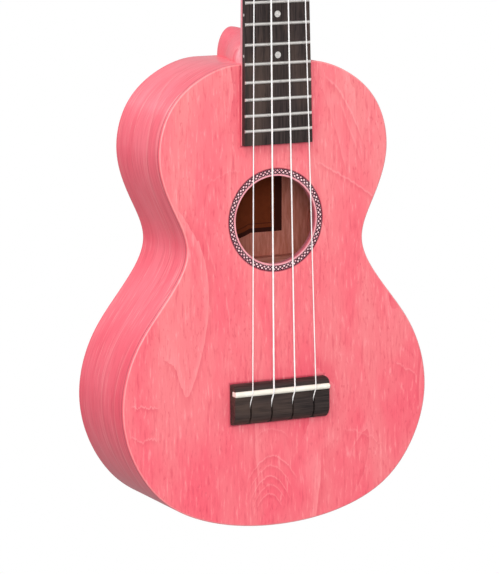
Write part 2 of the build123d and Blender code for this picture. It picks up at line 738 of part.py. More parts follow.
def make_post():
    """String post: through the bushing, the headstock and the plate, to the wheel."""
    seat = HEAD_THICKNESS + PLATE_THICKNESS + END_PLAY
    back = HEAD_THICKNESS + WORM_HEIGHT + GEAR_WIDTH / 2
    post = rod(POST_RADIUS, -POST_FRONT, seat) + rod(POST_END_RADIUS, seat, back)
    tip = post.faces().sort_by(Axis.Y)[0].edges()
    post = fillet(tip, POST_TIP_ROUND)
    reach = 2 * POST_RADIUS
    return post - cross_bar(POST_HOLE_RADIUS, -reach, reach, POST_HOLE_FROM_TIP - POST_FRONT, 0)


def make_winding():
    """String wound round the post, as a scalloped sleeve."""
    inner = POST_RADIUS
    rise = WINDING_STRING
    edge = Line((inner, -WINDING_BOTTOM - WINDING_TURNS * rise), (inner, -WINDING_BOTTOM))
    middle = inner + rise / 2
    sketch = edge + Line((inner, -WINDING_BOTTOM), (middle, -WINDING_BOTTOM))
    for turn in range(WINDING_TURNS):
        start = -WINDING_BOTTOM - turn * rise
        crest = (inner + rise, start - rise / 2)
        sketch = sketch + ThreePointArc((middle, start), crest, (middle, start - rise))
    end = -WINDING_BOTTOM - WINDING_TURNS * rise
    sketch = sketch + Line((middle, end), (inner, end))
    return revolve(make_face(sketch), Axis.Y)


def make_plate():
    """Tuner plate with two ears that carry the worm shaft."""
    front = HEAD_THICKNESS
    back = front + PLATE_THICKNESS
    middle = (PLATE_BOTTOM + PLATE_TOP) / 2
    plan = Pos(0, middle, 0) * RectangleRounded(2 * PLATE_HALF_WIDTH, PLATE_TOP - PLATE_BOTTOM, PLATE_CORNER)
    plate = region(Plane.XZ * plan, front, back)
    axis_y = front + WORM_HEIGHT
    for x in (-EAR_X - EAR_THICKNESS, EAR_X):
        ear = block(x, x + EAR_THICKNESS, back, axis_y, WORM_Z - EAR_RADIUS, WORM_Z + EAR_RADIUS)
        plate = plate + ear + cross_bar(EAR_RADIUS, x, x + EAR_THICKNESS, axis_y, WORM_Z)
    plate = plate - cross_bar(SHAFT_RADIUS + RUNNING_CLEARANCE, -20, 20, axis_y, WORM_Z)
    plate = plate - rod(POST_RADIUS + RUNNING_CLEARANCE, 0, back + 1)
    for z in TUNER_SCREW_HEIGHTS:
        plate = plate - rod(SCREW_RADIUS, 0, back + 1, 0, z)
    return plate


def make_tuner_screw(z):
    """Small round-headed wood screw with a cross slot."""
    seat = HEAD_THICKNESS + PLATE_THICKNESS
    shank = rod(SCREW_RADIUS, HEAD_THICKNESS - SCREW_LENGTH, seat, 0, z)
    top = seat + SCREW_HEAD_HEIGHT
    head = rod(SCREW_HEAD_RADIUS, seat, top, 0, z)
    head = fillet(head.faces().sort_by(Axis.Y)[-1].edges(), SCREW_HEAD_ROUND)
    long, thin = SCREW_CROSS[0] / 2, SCREW_CROSS[1] / 2
    cross = block(-thin, thin, top - SCREW_CROSS[1], top + 1, z - long, z + long)
    cross = cross + block(-long, long, top - SCREW_CROSS[1], top + 1, z - thin, z + thin)
    return shank + head - cross


def make_worm_shaft(side):
    """Worm between the plate's ears, with a stem that carries the button."""
    axis_y = HEAD_THICKNESS + WORM_HEIGHT
    root = WORM_PITCH_RADIUS - WORM_DEDENDUM * GEAR_MODULE
    foot = root - RUNNING_CLEARANCE
    tip = WORM_PITCH_RADIUS + GEAR_MODULE
    half_length = WORM_LENGTH / 2
    turns_length = WORM_LENGTH - WORM_PITCH
    path = Helix(pitch=WORM_PITCH, height=turns_length, radius=foot)
    start = path @ 0
    corners = (
        (foot, -WORM_THREAD_FOOT),
        (tip, -WORM_THREAD_TIP),
        (tip, WORM_THREAD_TIP),
        (foot, WORM_THREAD_FOOT),
    )
    section = make_face(Plane.XZ * Polyline(*corners, close=True))
    section = Pos(start.X - foot, start.Y, start.Z) * section
    thread = sweep(section, path=path, is_frenet=True)
    turns_before = turns_length / 2 / WORM_PITCH
    thread = Rot(0, 0, 90 - 360 * turns_before) * Pos(0, 0, -turns_length / 2) * thread
    thread = Rot(0, 90, 0) * thread
    core = cross_bar(root, -half_length, half_length)
    reach = BUTTON_START + BUTTON_SIZE[0] * BUTTON_GRIP
    low = -EAR_X - EAR_THICKNESS - SHAFT_RADIUS / 2
    stem = cross_bar(SHAFT_RADIUS, low, reach) if side > 0 else cross_bar(SHAFT_RADIUS, -reach, -low)
    return Pos(0, axis_y, WORM_Z) * (core + thread + stem)


def make_button(side):
    """Flattened oval knob with a short collar."""
    length, height, thickness = BUTTON_SIZE
    axis_y = HEAD_THICKNESS + WORM_HEIGHT
    centre = BUTTON_START + length / 2
    plan = Plane.XZ * (Pos(centre, 0, 0) * Ellipse(length / 2, height / 2))
    knob = extrude(plan, amount=thickness / 2, both=True)
    knob = fillet(knob.edges(), BUTTON_ROUND)
    collar_radius, collar_out, collar_in = BUTTON_COLLAR
    collar = cross_bar(collar_radius, BUTTON_START - collar_out, BUTTON_START + collar_in)
    hole = cross_bar(SHAFT_RADIUS, 0, BUTTON_START + length * BUTTON_GRIP)
    button = knob + collar - hole
    if side < 0:
        button = Rot(0, 180, 0) * button
    return Pos(0, axis_y, WORM_Z) * button


def make_bushing():
    """Flanged sleeve in the face of the headstock."""
    sleeve = rod(BUSHING_RADIUS, 0, BUSHING_LENGTH)
    flange = rod(BUSHING_FLANGE_RADIUS, -BUSHING_FLANGE, 0)
    flange = fillet(flange.faces().sort_by(Axis.Y)[0].edges(), BUSHING_FLANGE_ROUND)
    return sleeve + flange - rod(POST_RADIUS + RUNNING_CLEARANCE, -5, BUSHING_LENGTH + 1)


# ---- Strings ----
def make_string(index):
    """One string, from its knot over the saddle and the nut to its winding."""
    name, side, height = tuner_places()[index]
    radius = STRING_DIAMETERS[index] / 2
    saddle_x = string_offsets(STRING_SPACING_SADDLE)[index]
    nut_x = string_offsets(STRING_SPACING_NUT)[index]
    nut_z = NUT_THICKNESS / 2
    gap = POST_RADIUS + WINDING_STRING + STRING_TO_WINDING + radius
    winding_y = -(WINDING_BOTTOM + WINDING_STRING * WINDING_TURNS / 2)
    end = on_head(side * (POST_X - gap), winding_y, height)
    knot = (saddle_x, KNOT_Y - KNOT_RADIUS / 2, KNOT_Z + KNOT_RADIUS)
    slit = (saddle_x, STRING_ENTRY_DEPTH - BRIDGE_HEIGHT, STRING_ENTRY)
    points = [
        knot,
        slit,
        (saddle_x, -STRING_HEIGHT_SADDLE, SADDLE_Z),
        (nut_x, -STRING_HEIGHT_NUT, nut_z),
        (end.X, end.Y, end.Z),
    ]
    path = FilletPolyline(*points, radius=STRING_BENDS)
    start_plane = Plane(origin=path @ 0, z_dir=path % 0)
    return name, sweep(start_plane * Circle(radius), path=path)


# ---- Everything is written out ----
def main():
    """Make every sub-part and write it."""
    side_bass, side_treble = make_sides()
    top_linings, back_linings = make_linings()
    face_dots, side_dots = make_dots()
    neck, heel, headstock = make_neck_pieces()
    save("soundboard", make_soundboard())
    save("back_plate", make_back_plate())
    save("side_bass", side_bass)
    save("side_treble", side_treble)
    save("neck_block", make_neck_block())
    save("tail_block", make_tail_block())
    save("top_linings", top_linings)
    save("back_linings", back_linings)
    save("top_cross_braces", make_top_cross_braces())
    save("back_braces", make_back_braces())
    save("fan_braces", make_fan_braces())
    save("bridge_plate", make_bridge_plate())
    save("soundhole_ring", make_soundhole_ring())
    save("label", make_label())
    save("rosette", make_rosette())
    save("bridge", make_bridge())
    save("saddle", make_saddle())
    save("string_knots", Compound(children=make_string_knots()))
    save("fretboard", make_fretboard())
    save("fretboard_base", tapered_board(-FRETBOARD_BASE, 0))
    save("frets", Compound(children=[make_fret(number) for number in range(1, FRET_COUNT + 1)]))
    save("face_dots", face_dots)
    save("side_dots", side_dots)
    save("nut", make_nut())
    save("neck", neck)
    save("heel", heel)
    save("headstock", headstock)
    save("neck_dowels", Compound(children=make_dowels()))
    bushings = []
    screws = []
    for index, (name, side, height) in enumerate(tuner_places()):
        place = HEAD_FRAME * Pos(side * POST_X, 0, height)
        bushings.append(place * make_bushing())
        screws.extend(place * make_tuner_screw(z) for z in TUNER_SCREW_HEIGHTS)
        save(f"tuner_plate_{name}", place * make_plate())
        save(f"worm_shaft_{name}", place * make_worm_shaft(side))
        save(f"tuner_button_{name}", place * make_button(side))
        save(f"gear_wheel_{name}", place * make_gear_wheel())
        save(f"string_post_{name}", place * make_post())
        save(f"string_winding_{name}", place * make_winding())
        string_name, string = make_string(index)
        save(f"string_{string_name}", string)
    save("post_bushings", Compound(children=bushings))
    save("tuner_screws", Compound(children=screws))


main()
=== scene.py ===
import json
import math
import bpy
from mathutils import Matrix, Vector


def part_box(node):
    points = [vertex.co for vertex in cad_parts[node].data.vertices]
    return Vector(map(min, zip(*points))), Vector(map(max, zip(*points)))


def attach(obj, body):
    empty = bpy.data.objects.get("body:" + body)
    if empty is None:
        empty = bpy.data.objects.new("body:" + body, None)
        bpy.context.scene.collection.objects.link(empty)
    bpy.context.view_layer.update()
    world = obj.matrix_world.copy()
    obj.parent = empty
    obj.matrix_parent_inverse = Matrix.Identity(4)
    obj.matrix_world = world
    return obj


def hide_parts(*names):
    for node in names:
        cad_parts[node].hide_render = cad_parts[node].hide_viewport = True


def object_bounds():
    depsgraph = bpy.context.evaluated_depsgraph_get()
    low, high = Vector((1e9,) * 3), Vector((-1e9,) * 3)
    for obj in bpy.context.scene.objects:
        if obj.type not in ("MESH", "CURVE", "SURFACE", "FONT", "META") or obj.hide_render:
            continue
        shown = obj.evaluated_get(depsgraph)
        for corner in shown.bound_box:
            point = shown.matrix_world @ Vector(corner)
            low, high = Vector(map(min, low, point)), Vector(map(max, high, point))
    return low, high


bl_info = {
    "name": "Ukulele finisher",
    "version": (1, 0, 0),
    "blender": (4, 5, 0),
    "location": "3D View > Sidebar > Ukulele",
    "description": "Gives a ukulele's woods, strings and tuners their finished look",
    "category": "Object",
}

import bpy
import numpy as np
from mathutils import Matrix, Vector

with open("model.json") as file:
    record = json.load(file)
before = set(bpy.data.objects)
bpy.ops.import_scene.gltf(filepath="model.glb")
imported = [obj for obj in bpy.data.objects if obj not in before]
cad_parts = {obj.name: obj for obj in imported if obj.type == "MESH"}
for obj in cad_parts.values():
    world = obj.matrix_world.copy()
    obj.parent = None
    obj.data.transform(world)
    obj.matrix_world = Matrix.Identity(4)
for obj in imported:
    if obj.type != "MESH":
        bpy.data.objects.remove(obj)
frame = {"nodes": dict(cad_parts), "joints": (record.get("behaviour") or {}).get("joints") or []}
CAD_BOX = [list(corner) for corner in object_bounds()]
STRINGS = ("g", "c", "e", "a")
MM = 0.001


# ---- Settings that a user would change ----
def colour(name, description, default):
    """A colour setting."""
    return bpy.props.FloatVectorProperty(
        name=name, description=description, subtype="COLOR", size=3, min=0, max=1, default=default
    )


def length(name, description, default):
    """A length setting in metres."""
    return bpy.props.FloatProperty(name=name, description=description, unit="LENGTH", default=default)


def angle(name, description, degrees):
    """An angle setting, given in degrees."""
    return bpy.props.FloatProperty(
        name=name, description=description, subtype="ANGLE", default=math.radians(degrees)
    )


def amount(name, description, default):
    """A plain number setting."""
    return bpy.props.FloatProperty(name=name, description=description, default=default)


class UkuleleStageSettings(bpy.types.PropertyGroup):
    """The camera, the lights and the floor."""

    camera_azimuth: angle("Camera azimuth", "Turn of the camera round the instrument", -25.319)
    camera_elevation: angle("Camera elevation", "Height of the camera as an angle", 9.267)
    camera_roll: angle("Camera roll", "Turn of the picture about its middle", -0.63)
    camera_distance: length("Camera distance", "From the aim point to the camera", 1.86275)
    camera_lens: amount("Lens", "Focal length in millimetres for a 36 mm sensor", 197.71)
    aim_x: length("Aim X", "Aim point on the soundboard, across", -0.017685)
    aim_z: length("Aim Z", "Aim point on the soundboard, upwards", -0.322073)
    floor_drop: length("Floor drop", "Gap between the tail and the floor", 0.7)
    floor_colour: colour("Floor", "Colour of the floor", (0.42, 0.41, 0.41))
    sky: amount("Sky", "Strength of the even light from all round", 0.50)
    key: amount("Key", "Power of the large light above on the left, in watts", 26.0)
    front: amount("Front", "Power of the soft light beside the camera, in watts", 26.0)
    fill: amount("Fill", "Power of the soft light in front on the right, in watts", 5.0)
    back: amount("Back", "Power of the soft light behind on the left, in watts", 9.0)


class UkuleleWoodSettings(bpy.types.PropertyGroup):
    """The stained and plain woods."""

    stain_light: colour("Light stain", "Salmon pink where the wood took least stain", (0.855, 0.236, 0.252))
    stain_deep: colour("Deep stain", "Coral pink where the wood took most stain", (0.86, 0.104, 0.158))
    stain_fleck: colour("Flecks", "Short dark fibres", (0.64, 0.030, 0.070))
    stain_crest: colour("Crests", "Pale edges of the growth rings", (0.96, 0.37, 0.38))
    rib_light: colour("Rib light stain", "Rose pink of the ribs", (0.97, 0.165, 0.225))
    rib_deep: colour("Rib deep stain", "Deeper rose of the ribs", (0.90, 0.062, 0.122))
    ring_light: colour("Hole wall light", "Mauve stain on the soundhole's wall", (0.50, 0.15, 0.19))
    ring_deep: colour("Hole wall deep", "Deeper mauve on the soundhole's wall", (0.36, 0.09, 0.12))
    plain_light: colour("Plain light", "Bare wood inside the body", (0.66, 0.25, 0.195))
    plain_dark: colour("Plain dark", "Grain lines of the bare wood", (0.52, 0.165, 0.110))
    dark_light: colour("Dark wood", "Fretboard and bridge", (0.040, 0.027, 0.025))
    dark_deep: colour("Dark wood grain", "Pores of the fretboard and bridge", (0.010, 0.006, 0.006))


class UkuleleFittingSettings(bpy.types.PropertyGroup):
    """Strings, metal, plastic and paper."""

    nylon: colour("Nylon", "Strings", (0.92, 0.87, 0.87))
    ivory: colour("Saddle and nut", "Cream white plastic", (0.90, 0.88, 0.80))
    marks: colour("Marks", "Position marks", (0.62, 0.60, 0.58))
    pearl: colour("Pearl", "Knobs", (0.86, 0.85, 0.82))
    nickel: colour("Nickel", "Frets", (0.90, 0.88, 0.85))
    plating: colour("Plating", "Tuner plates, posts and screws", (0.80, 0.80, 0.82))
    brass: colour("Brass", "Gear wheels", (0.78, 0.57, 0.24))
    paper: colour("Paper", "Label inside the body", (0.175, 0.032, 0.009))
    ink: colour("Ink", "Border of the label", (0.050, 0.010, 0.006))
    rosette_dark: colour("Rosette dark", "Dark blocks of the rope pattern", (0.034, 0.004, 0.012))
    rosette_pale: colour("Rosette pale", "Pale blocks of the rope pattern", (0.80, 0.37, 0.43))


# ---- Node helpers ----
def new_material(name):
    """An empty material with a Principled shader joined to its output; returns all three."""
    material = bpy.data.materials.new(name)
    material.use_nodes = True
    tree = material.node_tree
    tree.nodes.clear()
    output = tree.nodes.new("ShaderNodeOutputMaterial")
    shader = tree.nodes.new("ShaderNodeBsdfPrincipled")
    tree.links.new(shader.outputs["BSDF"], output.inputs["Surface"])
    return material, tree, shader


def feed(tree, socket, value):
    """Join a socket to a node's output, or set its value."""
    if isinstance(value, bpy.types.NodeSocket):
        tree.links.new(value, socket)
    elif isinstance(value, (tuple, list)) and socket.type == "RGBA" and len(value) == 3:
        socket.default_value = (*value, 1)
    else:
        socket.default_value = value


def calc(tree, operation, first, second=0.0, third=0.0, clamp=False):
    """One Math node."""
    node = tree.nodes.new("ShaderNodeMath")
    node.operation = operation
    node.use_clamp = clamp
    for socket, value in zip(node.inputs, (first, second, third)):
        feed(tree, socket, value)
    return node.outputs[0]


def vector_calc(tree, operation, first, second):
    """One Vector Math node."""
    node = tree.nodes.new("ShaderNodeVectorMath")
    node.operation = operation
    feed(tree, node.inputs[0], first)
    feed(tree, node.inputs[1], second)
    return node.outputs[0]


def span(tree, value, low, high, out_low=0.0, out_high=1.0):
    """A smooth step of a value from one range to another."""
    node = tree.nodes.new("ShaderNodeMapRange")
    node.interpolation_type = "SMOOTHSTEP"
    for name, number in (("From Min", low), ("From Max", high), ("To Min", out_low), ("To Max", out_high)):
        node.inputs[name].default_value = number
    feed(tree, node.inputs["Value"], value)
    return node.outputs["Result"]


def blend_colour(tree, mask, first, second):
    """Mix two colours by a mask."""
    node = tree.nodes.new("ShaderNodeMix")
    node.data_type = "RGBA"
    feed(tree, node.inputs["Factor"], mask)
    feed(tree, node.inputs["A"], first)
    feed(tree, node.inputs["B"], second)
    return node.outputs["Result"]


def noise(tree, place, scale, detail=2.0, roughness=0.5, distortion=0.0):
    """A noise value on given coordinates."""
    node = tree.nodes.new("ShaderNodeTexNoise")
    feed(tree, node.inputs["Vector"], place)
    node.inputs["Scale"].default_value = scale
    node.inputs["Detail"].default_value = detail
    node.inputs["Roughness"].default_value = roughness
    node.inputs["Distortion"].default_value = distortion
    return node.outputs["Fac"]


def object_place(tree):
    """Object coordinates, in metres."""
    return tree.nodes.new("ShaderNodeTexCoord").outputs["Object"]


def object_normal(tree):
    """The surface's own direction as X, Y and Z values."""
    node = tree.nodes.new("ShaderNodeSeparateXYZ")
    tree.links.new(tree.nodes.new("ShaderNodeTexCoord").outputs["Normal"], node.inputs[0])
    return node.outputs


def parts_of(tree, vector):
    """The X, Y and Z values of a vector."""
    node = tree.nodes.new("ShaderNodeSeparateXYZ")
    tree.links.new(vector, node.inputs[0])
    return node.outputs


def add_bump(tree, shader, height, distance):
    """Raise the surface by a height value, over a distance in metres."""
    node = tree.nodes.new("ShaderNodeBump")
    node.inputs["Strength"].default_value = 1.0
    node.inputs["Distance"].default_value = distance
    feed(tree, node.inputs["Height"], height)
    tree.links.new(node.outputs["Normal"], shader.inputs["Normal"])


def new_group(name, inputs, outputs):
    """A shader node group with named sockets; returns its tree and its two end nodes."""
    tree = bpy.data.node_groups.new(name, "ShaderNodeTree")
    for label, kind in inputs:
        tree.interface.new_socket(name=label, in_out="INPUT", socket_type=kind)
    for label, kind in outputs:
        tree.interface.new_socket(name=label, in_out="OUTPUT", socket_type=kind)
    return tree, tree.nodes.new("NodeGroupInput"), tree.nodes.new("NodeGroupOutput")


def use_group(tree, group, **values):
    """Place a group in a tree with its own values; an underscore in a name stands for a space."""
    node = tree.nodes.new("ShaderNodeGroup")
    node.node_tree = group
    for label, value in values.items():
        feed(tree, node.inputs[label.replace("_", " ")], value)
    return node.outputs


VALUE = "NodeSocketFloat"
VECTOR = "NodeSocketVector"


def grain_group():
    """Fibres, flecks, clouds and growth-ring crests of a rotary-cut face, built once and shared.

    Fibres are noise stretched along the grain. A crest is where a slow height field, shaken by
    the fibres, passes a whole number, as a cut through growth rings does: pale just before it and
    dark just after.
    """
    found = bpy.data.node_groups.get("wood_grain")
    if found:
        return found
    tree, start, end = new_group(
        "wood_grain",
        [("Place", VECTOR), ("Fine", VECTOR), ("Broad", VECTOR), ("Rings", VALUE)],
        [("Fibre", VALUE), ("Fleck", VALUE), ("Cloud", VALUE), ("Crest", VALUE), ("Trough", VALUE)],
    )
    fine = vector_calc(tree, "MULTIPLY", start.outputs["Place"], start.outputs["Fine"])
    broad = vector_calc(tree, "MULTIPLY", start.outputs["Place"], start.outputs["Broad"])
    fibre = noise(tree, fine, 1.0, 4.0, 0.62, 0.35)
    streak = noise(tree, fine, 0.32, 2.0, 0.5, 0.2)
    short = vector_calc(tree, "MULTIPLY", fine, (1.3, 1.3, 3.2))
    specks = span(tree, noise(tree, short, 1.0, 1.0, 0.4), 0.60, 0.72)
    patches = span(tree, noise(tree, broad, 1.7, 2.0, 0.5), 0.42, 0.62)
    fleck = calc(tree, "MULTIPLY", specks, patches)
    slow = noise(tree, broad, 0.55, 1.2, 0.45, 0.6)
    shaken = calc(tree, "MULTIPLY_ADD", streak, 0.035, slow)
    rings = calc(tree, "FRACT", calc(tree, "MULTIPLY", shaken, start.outputs["Rings"]))
    shown = span(tree, noise(tree, broad, 0.9, 2.0, 0.5), 0.40, 0.64)
    crest = calc(tree, "MULTIPLY", span(tree, rings, 0.80, 0.985), shown)
    trough = calc(tree, "MULTIPLY", span(tree, rings, 0.20, 0.0), shown)
    cloud = noise(tree, broad, 1.1, 3.0, 0.55, 0.4)
    results = {"Fibre": fibre, "Fleck": fleck, "Cloud": cloud, "Crest": crest, "Trough": trough}
    for label, value in results.items():
        tree.links.new(value, end.inputs[label])
    return tree


def smudge_group():
    """Soft uneven gloss, as hands and polishing leave: a mask around one half."""
    found = bpy.data.node_groups.get("smudges")
    if found:
        return found
    tree, start, end = new_group("smudges", [("Place", VECTOR), ("Size", VALUE)], [("Mask", VALUE)])
    node = tree.nodes.new("ShaderNodeTexNoise")
    tree.links.new(start.outputs["Place"], node.inputs["Vector"])
    tree.links.new(start.outputs["Size"], node.inputs["Scale"])
    node.inputs["Detail"].default_value = 4.0
    tree.links.new(node.outputs["Fac"], end.inputs["Mask"])
    return tree


def dress(node_name, material):
    """Give one CAD node its material."""
    slots = frame["nodes"][node_name].data.materials
    slots.clear()
    slots.append(material)


# ---- Woods ----
BARE_RINGS = 7.0
DARK_RINGS = 6.0
# Heights between which the colour darkens towards the bottom of the body, in metres.
FALL_TOP = -0.20
FALL_FOOT = -0.46
STAIN_REACH = 0.58
DARK_FIBRES = 0.38
PALE_FIBRES = 0.46
FLECK_SHARE = 0.36
TROUGH_SHARE = 0.26
CREST_SHARE = 0.28
RIM_HIGHLIGHT_COLOUR = (0.94, 0.33, 0.34)
OUTER_RIM_SHADE_SHARE = 0.6
# Depths between which the dark glue line and painted shade beside the soundboard fade in, in metres.
SEAM_FAR = 0.0031
SEAM_NEAR = 0.0022
SEAM_AND_SHADE_COLOUR = (0.42, 0.025, 0.055)
PAINTED_SHEEN_POWER = 5.0
PAINTED_SHEEN_SHARE = 0.35
PAINTED_SHEEN_COLOUR = (0.95, 0.50, 0.55)
SMUDGE_SIZE = 28.0
GLOSSY = 0.36
DULLED = 0.46
BARE_DULLING = 0.35
LACQUER = 0.35
LACQUER_ROUGHNESS = 0.22
STAINED_SPECULAR = 0.25
FIBRE_DEPTH = 0.00006


def inside_mask(tree, where):
    """One on the faces inside the body, where the wood is bare, and nought outside."""
    normal = object_normal(tree)
    if where == "soundboard":
        return span(tree, normal["Y"], 0.8, 0.95)
    if where == "back":
        return span(tree, normal["Y"], -0.8, -0.95)
    across = parts_of(tree, object_place(tree))["X"]
    return span(tree, calc(tree, "MULTIPLY", calc(tree, "SIGN", across), normal["X"]), 0.0, -0.02)


def plain_colour(tree, woods, place, fine, broad):
    """Colour of the bare wood."""
    grain = use_group(tree, grain_group(), Place=place, Fine=fine, Broad=broad, Rings=BARE_RINGS)
    dark, light = tuple(woods.plain_dark), tuple(woods.plain_light)
    base = blend_colour(tree, span(tree, grain["Fibre"], 0.35, 0.65), dark, light)
    return blend_colour(tree, calc(tree, "MULTIPLY", grain["Trough"], 0.5), base, dark)


def stained_wood(
    name, woods, where, fine, broad, rings, light, deep, edge=0.0, seam=0.0, depth=0.0, marks=None
):
    """Stained wood in satin lacquer.

    The colour runs from light to deep stain with the clouds and, by depth, darker down the body. Flecks
    darken it, crests pale it, and faces inside the body stay bare. Edge paints a highlight on the rim
    and shade on its outer face, seam paints shade with the glue line beside the soundboard, marks adds
    a face's own figure with painted light and shade, and grazing faces get a painted sheen.
    """
    material, tree, shader = new_material(name)
    place = object_place(tree)
    grain = use_group(tree, grain_group(), Place=place, Fine=fine, Broad=broad, Rings=rings)
    height = parts_of(tree, place)["Z"]
    fall = span(tree, height, FALL_TOP, FALL_FOOT, 0.0, depth)
    mix = calc(tree, "ADD", span(tree, grain["Cloud"], 0.30, 0.70), fall)
    stain = calc(tree, "MULTIPLY", mix, STAIN_REACH, clamp=True)
    base = blend_colour(tree, stain, tuple(light), tuple(deep))
    if marks:
        base = marks(tree, woods, place, base)
    fleck, crest = tuple(woods.stain_fleck), tuple(woods.stain_crest)
    base = blend_colour(tree, span(tree, grain["Fibre"], 0.52, 0.70, 0.0, DARK_FIBRES), base, fleck)
    base = blend_colour(tree, span(tree, grain["Fibre"], 0.46, 0.30, 0.0, PALE_FIBRES), base, crest)
    base = blend_colour(tree, calc(tree, "MULTIPLY", grain["Fleck"], FLECK_SHARE), base, fleck)
    base = blend_colour(tree, calc(tree, "MULTIPLY", grain["Trough"], TROUGH_SHARE), base, fleck)
    base = blend_colour(tree, calc(tree, "MULTIPLY", grain["Crest"], CREST_SHARE), base, crest)
    # Edge: a painted highlight on the rounded rim, and painted shade on the rim's outer face.
    if edge:
        turn = calc(tree, "ABSOLUTE", object_normal(tree)["Y"])
        rim = calc(tree, "MULTIPLY", span(tree, turn, 0.995, 0.93), span(tree, turn, 0.35, 0.62))
        base = blend_colour(tree, calc(tree, "MULTIPLY", rim, edge), base, RIM_HIGHLIGHT_COLOUR)
        outer = span(tree, turn, 0.50, 0.25, 0.0, OUTER_RIM_SHADE_SHARE)
        base = blend_colour(tree, outer, base, tuple(woods.rib_deep))
    # Seam: painted shade along the joint with the soundboard, together with the dark glue line.
    if seam:
        line = span(tree, parts_of(tree, place)["Y"], SEAM_FAR, SEAM_NEAR, 0.0, seam)
        base = blend_colour(tree, line, base, SEAM_AND_SHADE_COLOUR)
    # Painted sheen: faces seen at a grazing angle pale towards a pink-white reflection.
    facing = tree.nodes.new("ShaderNodeLayerWeight")
    facing.inputs["Blend"].default_value = 0.5
    painted_sheen = calc(tree, "POWER", facing.outputs["Facing"], PAINTED_SHEEN_POWER)
    base = blend_colour(tree, calc(tree, "MULTIPLY", painted_sheen, PAINTED_SHEEN_SHARE), base, PAINTED_SHEEN_COLOUR)
    inside = None
    if where:
        inside = inside_mask(tree, where)
        bare = plain_colour(tree, woods, place, fine, broad)
        base = blend_colour(tree, inside, base, bare)
    feed(tree, shader.inputs["Base Color"], base)
    smudge = use_group(tree, smudge_group(), Place=place, Size=SMUDGE_SIZE)["Mask"]
    gloss = span(tree, smudge, 0.3, 0.7, GLOSSY, DULLED)
    if inside:
        gloss = calc(tree, "MULTIPLY_ADD", inside, BARE_DULLING, gloss)
        coat = calc(tree, "MULTIPLY_ADD", inside, -LACQUER, LACQUER)
        feed(tree, shader.inputs["Coat Weight"], coat)
    else:
        shader.inputs["Coat Weight"].default_value = LACQUER
    shader.inputs["Coat Roughness"].default_value = LACQUER_ROUGHNESS
    feed(tree, shader.inputs["Roughness"], gloss)
    shader.inputs["Specular IOR Level"].default_value = STAINED_SPECULAR
    add_bump(tree, shader, grain["Fibre"], FIBRE_DEPTH)
    return material


def plain_wood(name, woods, fine, broad):
    """Bare wood of the inner frame."""
    material, tree, shader = new_material(name)
    place = object_place(tree)
    feed(tree, shader.inputs["Base Color"], plain_colour(tree, woods, place, fine, broad))
    shader.inputs["Roughness"].default_value = 0.82
    add_bump(tree, shader, noise(tree, vector_calc(tree, "MULTIPLY", place, fine), 1.0, 3.0), 0.0001)
    return material


def dark_wood(name, woods, fine, broad):
    """Open-pored very dark wood with an oiled surface."""
    material, tree, shader = new_material(name)
    place = object_place(tree)
    grain = use_group(tree, grain_group(), Place=place, Fine=fine, Broad=broad, Rings=DARK_RINGS)
    deep, light = tuple(woods.dark_deep), tuple(woods.dark_light)
    base = blend_colour(tree, span(tree, grain["Fibre"], 0.34, 0.62), deep, light)
    brown = calc(tree, "MULTIPLY", span(tree, grain["Cloud"], 0.45, 0.7), 0.5)
    base = blend_colour(tree, brown, base, (0.095, 0.060, 0.046))
    base = blend_colour(tree, calc(tree, "MULTIPLY", grain["Fleck"], 0.8), base, deep)
    feed(tree, shader.inputs["Base Color"], base)
    feed(tree, shader.inputs["Roughness"], span(tree, grain["Fibre"], 0.3, 0.7, 0.62, 0.42))
    shader.inputs["Specular IOR Level"].default_value = 0.28
    add_bump(tree, shader, grain["Fibre"], 0.00008)
    return material


# Lines of the soundboard's own figure, in millimetres on its plane: the middle's X and Z, the slope
# there, the bend per millimetre, half the line's reach along X, the waviness and the strength.
FIGURE_LINES = (
    (-86.0, -387.5, -0.15, 0.010, 10.0, 5.5, 1.0),
    (-87.0, -408.0, -0.10, -0.012, 10.0, 5.0, 0.8),
    (-4.0, -409.0, -0.05, 0.040, 13.0, 2.4, 0.45),
    (-4.0, -425.6, -0.05, 0.055, 19.0, 2.6, 0.8),
    (-5.0, -431.5, -0.04, 0.070, 17.0, 2.4, 0.6),
    (-5.5, -437.5, -0.04, 0.085, 15.0, 2.2, 0.8),
    (-5.5, -443.0, -0.03, 0.100, 12.0, 2.0, 0.6),
    (-6.0, -448.5, -0.02, 0.120, 10.0, 2.0, 0.7),
    (46.0, -214.0, -1.6, 0.040, 14.0, 3.0, 0.8),
    (50.0, -233.0, -2.6, 0.0, 8.0, 3.0, 0.5),
    (48.0, -262.0, -0.62, 0.004, 24.0, 3.0, 0.8),
    (87.0, -380.5, -0.65, 0.0, 9.0, 4.0, 0.6),
    (-43.0, -300.0, -3.2, 0.0, 4.5, 3.0, 0.45),
    (-34.0, -254.0, 0.30, 0.020, 14.0, 4.0, 0.35),
    (58.0, -418.0, -0.5, 0.015, 16.0, 4.0, 0.4),
)
WAVE_STRETCH = (260.0, 1.0, 45.0)
# The soundboard's landmarks, in millimetres.
FRETBOARD_HALF_WIDTH = 22.0
FRETBOARD_END = -238.0
BRIDGE_HALF_LENGTH = 31.0
BRIDGE_HALF_WIDTH = 12.4
BRIDGE_BELOW_NUT = 391.8
HOLE_BELOW_NUT = 283.3
CONTACT_SHADOW_COLOUR = (0.34, 0.015, 0.04)
PALE_RING_COLOUR = (0.82, 0.38, 0.43)
RING_SHADE_COLOUR = (0.22, 0.015, 0.04)
HEEL_HIGHLIGHT_COLOUR = (0.93, 0.44, 0.50)


